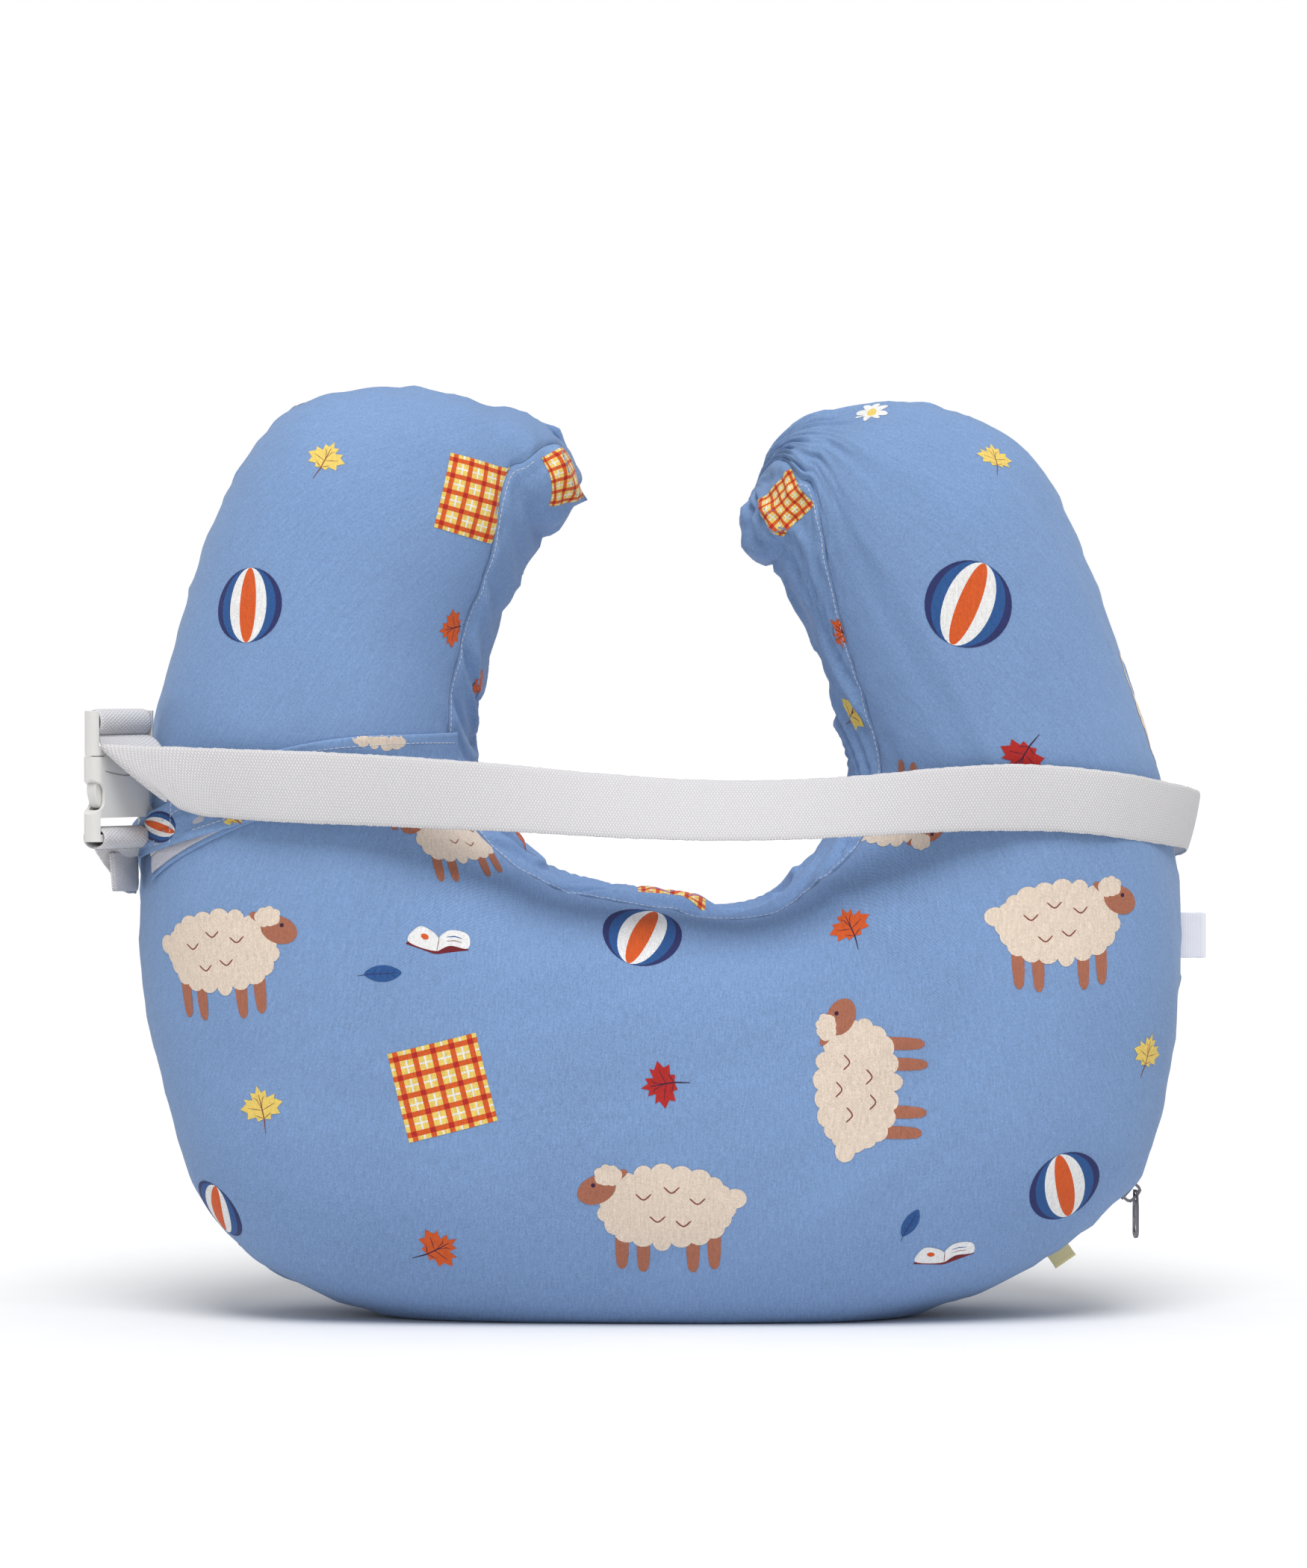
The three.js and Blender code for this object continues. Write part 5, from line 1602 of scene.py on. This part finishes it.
def make_slider():
    """Two wedge-shaped plates on a post, and the bridge that holds the pull."""
    plan = rounded([(6.0, 3.6), (4.6, 4.5), (0.4, 4.4), (-3.2, 3.3), (-6.0, 2.9), (-6.2, 0),
                    (-6.0, -2.9), (-3.2, -3.3), (0.4, -4.4), (4.6, -4.5), (6.0, -3.6), (6.1, 0)], True, 3)
    body = prism(plan, 0.6, 2.0)
    carve(body, prism(plan, -5.4, -4.5), operation="UNION")
    carve(body, block((-5.4, 5.4), (-0.3, 0.3), (-4.9, 1.2)), operation="UNION")
    arch = [(-5.5, 1.8), (-5.4, 4.6), (-4.4, 6.6), (-2.4, 7.1), (2.4, 7.1), (4.4, 6.6),
            (5.4, 4.6), (5.5, 1.8), (4.0, 1.8), (3.9, 4.4), (3.2, 5.5), (2.0, 5.7),
            (-2.0, 5.7), (-3.2, 5.5), (-3.9, 4.4), (-4.0, 1.8)]
    carve(body, prism(arch, -1.0, 1.0, axis=1), operation="UNION")
    return moulded("zip_slider_body", body, 0.3, ZINC, on_slider, 2)


PULL_RADIUS = 211.4  # from the zip arc's centre to the middle of the pull's hole, mm
PULL_TURN = math.radians(107)  # about z


def on_pull(points):
    """The pull's own frame, z up from the middle of its hole, to pillow mm."""
    c, s = math.cos(PULL_TURN), math.sin(PULL_TURN)
    x = ZIP_ARC[0] + PULL_RADIUS * math.cos(math.radians(SLIDER_ANGLE))
    z = ZIP_ARC[1] + PULL_RADIUS * math.sin(math.radians(SLIDER_ANGLE))
    return np.stack([points[..., 0] * c - points[..., 1] * s + x, points[..., 0] * s + points[..., 1] * c,
                     points[..., 2] + z], -1)


def make_pull():
    """A thin tab that hangs from the bridge, with a slot at its end and a dish on each face."""
    outline = [(-2.6, 3.5), (-2.7, 0), (-3.3, -6), (-3.3, -19.2)]
    outline += [(-3.3 * math.cos(a), -19.2 - 3.3 * math.sin(a)) for a in np.linspace(0.2, math.pi - 0.2, 9)]
    outline += [(3.3, -19.2), (3.3, -6), (2.7, 0), (2.6, 3.5)]
    body = prism(outline, -0.6, 0.6, axis=1)
    carve(body, prism(lobed(3.8, 4.4, 0.8, 3), -5, 5, axis=1))
    carve(body, prism(ellipse(0, -17.1, 1.7, 3.4), -5, 5, axis=1))
    for face in (-1, 1):
        groove = [(p[0], p[1]) for p in lobed(3.6, 6.4, 1.6, 4) + (0, -8.2)]
        carve(body, prism(groove, *sorted((face * 0.42, face * 3)), axis=1))
    return moulded("zip_pull_tab", body, 0.22, ZINC, on_pull, 2)


def make_stop(name, end, node):
    """A clamp across both coils at one end of the zip."""
    centre, out, along = outer_line(np.array([end]), np.zeros(1), np.array([1.6]))
    tangent = unit(along)[0]
    frame = np.stack([tangent, np.array([0, 1.0, 0]), out[0]])

    def place(points):
        return centre[0] / MM + FOOT + points @ frame

    obj = moulded(name, block((-1.2, 1.2), (-2.3, 2.3), (-1.1, 1.1)), 0.4, ZINC, place, 2)
    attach(obj, "root")
    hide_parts(node)


make_stop("zip_stop_bottom", ZIP_ROWS[0] + 1.2, "zipper_bottom_stop")
make_stop("zip_stop_top", ZIP_ROWS[1] - 1.2, "zipper_top_stop")
for piece, body, node in (
        (make_slider(), "zip_slider", "zipper_slider"), (make_pull(), "zip_pull", "zipper_pull")):
    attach(piece, body)
    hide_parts(node)


# ---------------------------------------------------------------- label and tab

def doubled(name, base, out, across, half_width, length, spread, material, node, curl):
    """A short tape folded in two that stands out of a seam."""
    base, out, across = (np.asarray(v, float) for v in (base, out, across))
    side = unit(np.cross(out, across))
    path = [(-1.5, -1.0), (length * 0.35, -1.05), (length * 0.7, -1.0), (length * 0.93, -0.9), (length, 0.0),
            (length * 0.93, 0.9), (length * 0.7, 1.0), (length * 0.35, 1.05), (-1.5, 1.0)]
    pairs = []
    for reach, off in path:
        bend = curl * (max(reach, 0) / length) ** 2
        middle = base + out * reach + side * (off * spread + bend)
        pairs.append((middle + across * half_width, middle - across * half_width))
    obj = webbing_piece(name, np.array(pairs), 0, 0.7, 0.3, 3, material)
    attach(obj, "root")
    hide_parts(node)


doubled("label_blank", (277.6, 0, 204), (1, 0, 0), (0, 0, 1), 12, 12.4, 0.5,
        LABEL, "care_label", 0.9)
TAB_ANGLE = -55.4  # on the zip's arc, in degrees
TAB_X, TAB_Z = on_zip_arc(TAB_ANGLE)
TAB_COS, TAB_SIN = math.cos(math.radians(TAB_ANGLE)), math.sin(math.radians(TAB_ANGLE))
doubled("corner_ribbon", (TAB_X, 12, TAB_Z), (TAB_COS, 0, TAB_SIN), (-TAB_SIN, 0, TAB_COS), 6.5, 9.2, 0.6,
        TAB, "corner_tab", 0.6)


# ---------------------------------------------------------------- inner pillow

LINER_INSET, FIBRE_INSET = 9.0, 11.5  # under the cover's plain skin, mm


def inner_rings(inset):
    """The plain skin's rings moved inwards, drawn together at both ends of the pillow."""
    keep = ROWS[:, 4] > 24
    rings = rest_on_floor(PLAIN)[keep] - ring_normals(PLAIN)[keep] * inset
    rings[..., 2] = np.maximum(rings[..., 2], inset)
    middles = rings.mean(axis=1, keepdims=True)
    drawn = middles + (rings - middles) * 0.02
    return np.concatenate([drawn[:1], rings, drawn[-1:]])


def liner_half(name, node, start, end):
    """One of the two cotton halves of the inner pillow."""
    rings = inner_rings(LINER_INSET)
    grid = row(rings[:, np.arange(start, end + 1) % rings.shape[1]])
    along, across = run_of(grid), run_of(grid, 1)
    obj = sheet_object(name, grid, np.stack([along, across], -1), [LINER_CLOTH])
    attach(obj, "root")
    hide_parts(node)


def filling():
    """The fibre that fills the inner pillow."""
    rings = inner_rings(FIBRE_INSET)
    count, size = rings.shape[:2]
    faces = list(grid_faces(count, size, closed=True)[0])
    faces += [range(size), range(count * size - 1, (count - 1) * size - 1, -1)]
    obj = fix_normals(mesh_object("fibre_body", row(rings.reshape(-1, 3)), faces, [FIBRE]))
    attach(obj, "root")
    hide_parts("fibre_filling")


INNER_MIDDLE = (SEAMS[0] + SEAMS[1]) // 2
liner_half("liner_front_cloth", "liner_front", 0, INNER_MIDDLE)
liner_half("liner_back_cloth", "liner_back", INNER_MIDDLE, PLAIN.shape[1])
filling()


# ---------------------------------------------------------------- floor, light and camera

FLOOR_TONES = ((0.84, 0.84, 0.845, 1), (0.87, 0.87, 0.875, 1))
SENSOR = 36.0  # mm
SKY = 0.32  # the light from all round, against 1 for the white that the camera sees behind


def make_sky():
    """White behind the object, and a weaker even light from all round it."""
    world = bpy.data.worlds.new("studio")
    world.use_nodes = True
    tree = world.node_tree
    light = tree.nodes["Background"]
    light.inputs["Color"].default_value = (1.0, 1.0, 1.0, 1)
    light.inputs["Strength"].default_value = SKY
    behind, choice = tree.nodes.new("ShaderNodeBackground"), tree.nodes.new("ShaderNodeMixShader")
    behind.inputs["Color"].default_value = (1.0, 1.0, 1.0, 1)
    ray = tree.nodes.new("ShaderNodeLightPath")
    tree.links.new(ray.outputs["Is Camera Ray"], choice.inputs["Fac"])
    tree.links.new(light.outputs["Background"], choice.inputs[1])
    tree.links.new(behind.outputs["Background"], choice.inputs[2])
    tree.links.new(choice.outputs["Shader"], tree.nodes["World Output"].inputs["Surface"])
    bpy.context.scene.world = world


SUNS = (  # name, direction, strength and how wide each one is in degrees
    ("key", (-0.04, 0.58, -1.0), 2.05, 30),
    ("top", (-0.1, 0.12, -1.0), 1.1, 80),
    ("fill", (0.7, 0.8, -0.45), 0.2, 60),
)


def make_stage():
    """A pale floor, the sky and three soft suns."""
    paper = Surface("studio_floor")
    tone = paper.mix(paper.noise(30, 2), *FLOOR_TONES)
    floor = mesh_object("floor", [(-60, -8, 0), (60, -8, 0), (60, 90, 0), (-60, 90, 0)], [(0, 1, 2, 3)],
                        [paper.finish(tone, 0.9)], smooth=False)
    make_sky()
    for name, towards, strength, spread in SUNS:
        light = bpy.data.lights.new(name, "SUN")
        light.energy, light.angle = strength, math.radians(spread)
        lamp = bpy.data.objects.new(name, light)
        lamp.rotation_euler = Vector(towards).to_track_quat("-Z", "Y").to_euler()
        bpy.context.collection.objects.link(lamp)


def make_camera():
    """Straight ahead of the pillow, a little above its middle and aimed a little down."""
    data = bpy.data.cameras.new("camera")
    data.sensor_fit, data.sensor_width = "HORIZONTAL", SENSOR
    data.lens = SENSOR * CAMERA_DISTANCE / FRAME_WIDTH
    data.clip_end = 100
    camera = bpy.data.objects.new("camera", data)
    camera.location = FRAME_CENTRE - CAMERA_DISTANCE * VIEW_AHEAD
    camera.rotation_euler = Vector(VIEW_AHEAD).to_track_quat("-Z", "Y").to_euler()
    bpy.context.collection.objects.link(camera)
    bpy.context.scene.camera = camera


make_stage()
make_camera()
bpy.context.scene.view_settings.view_transform = "Standard"
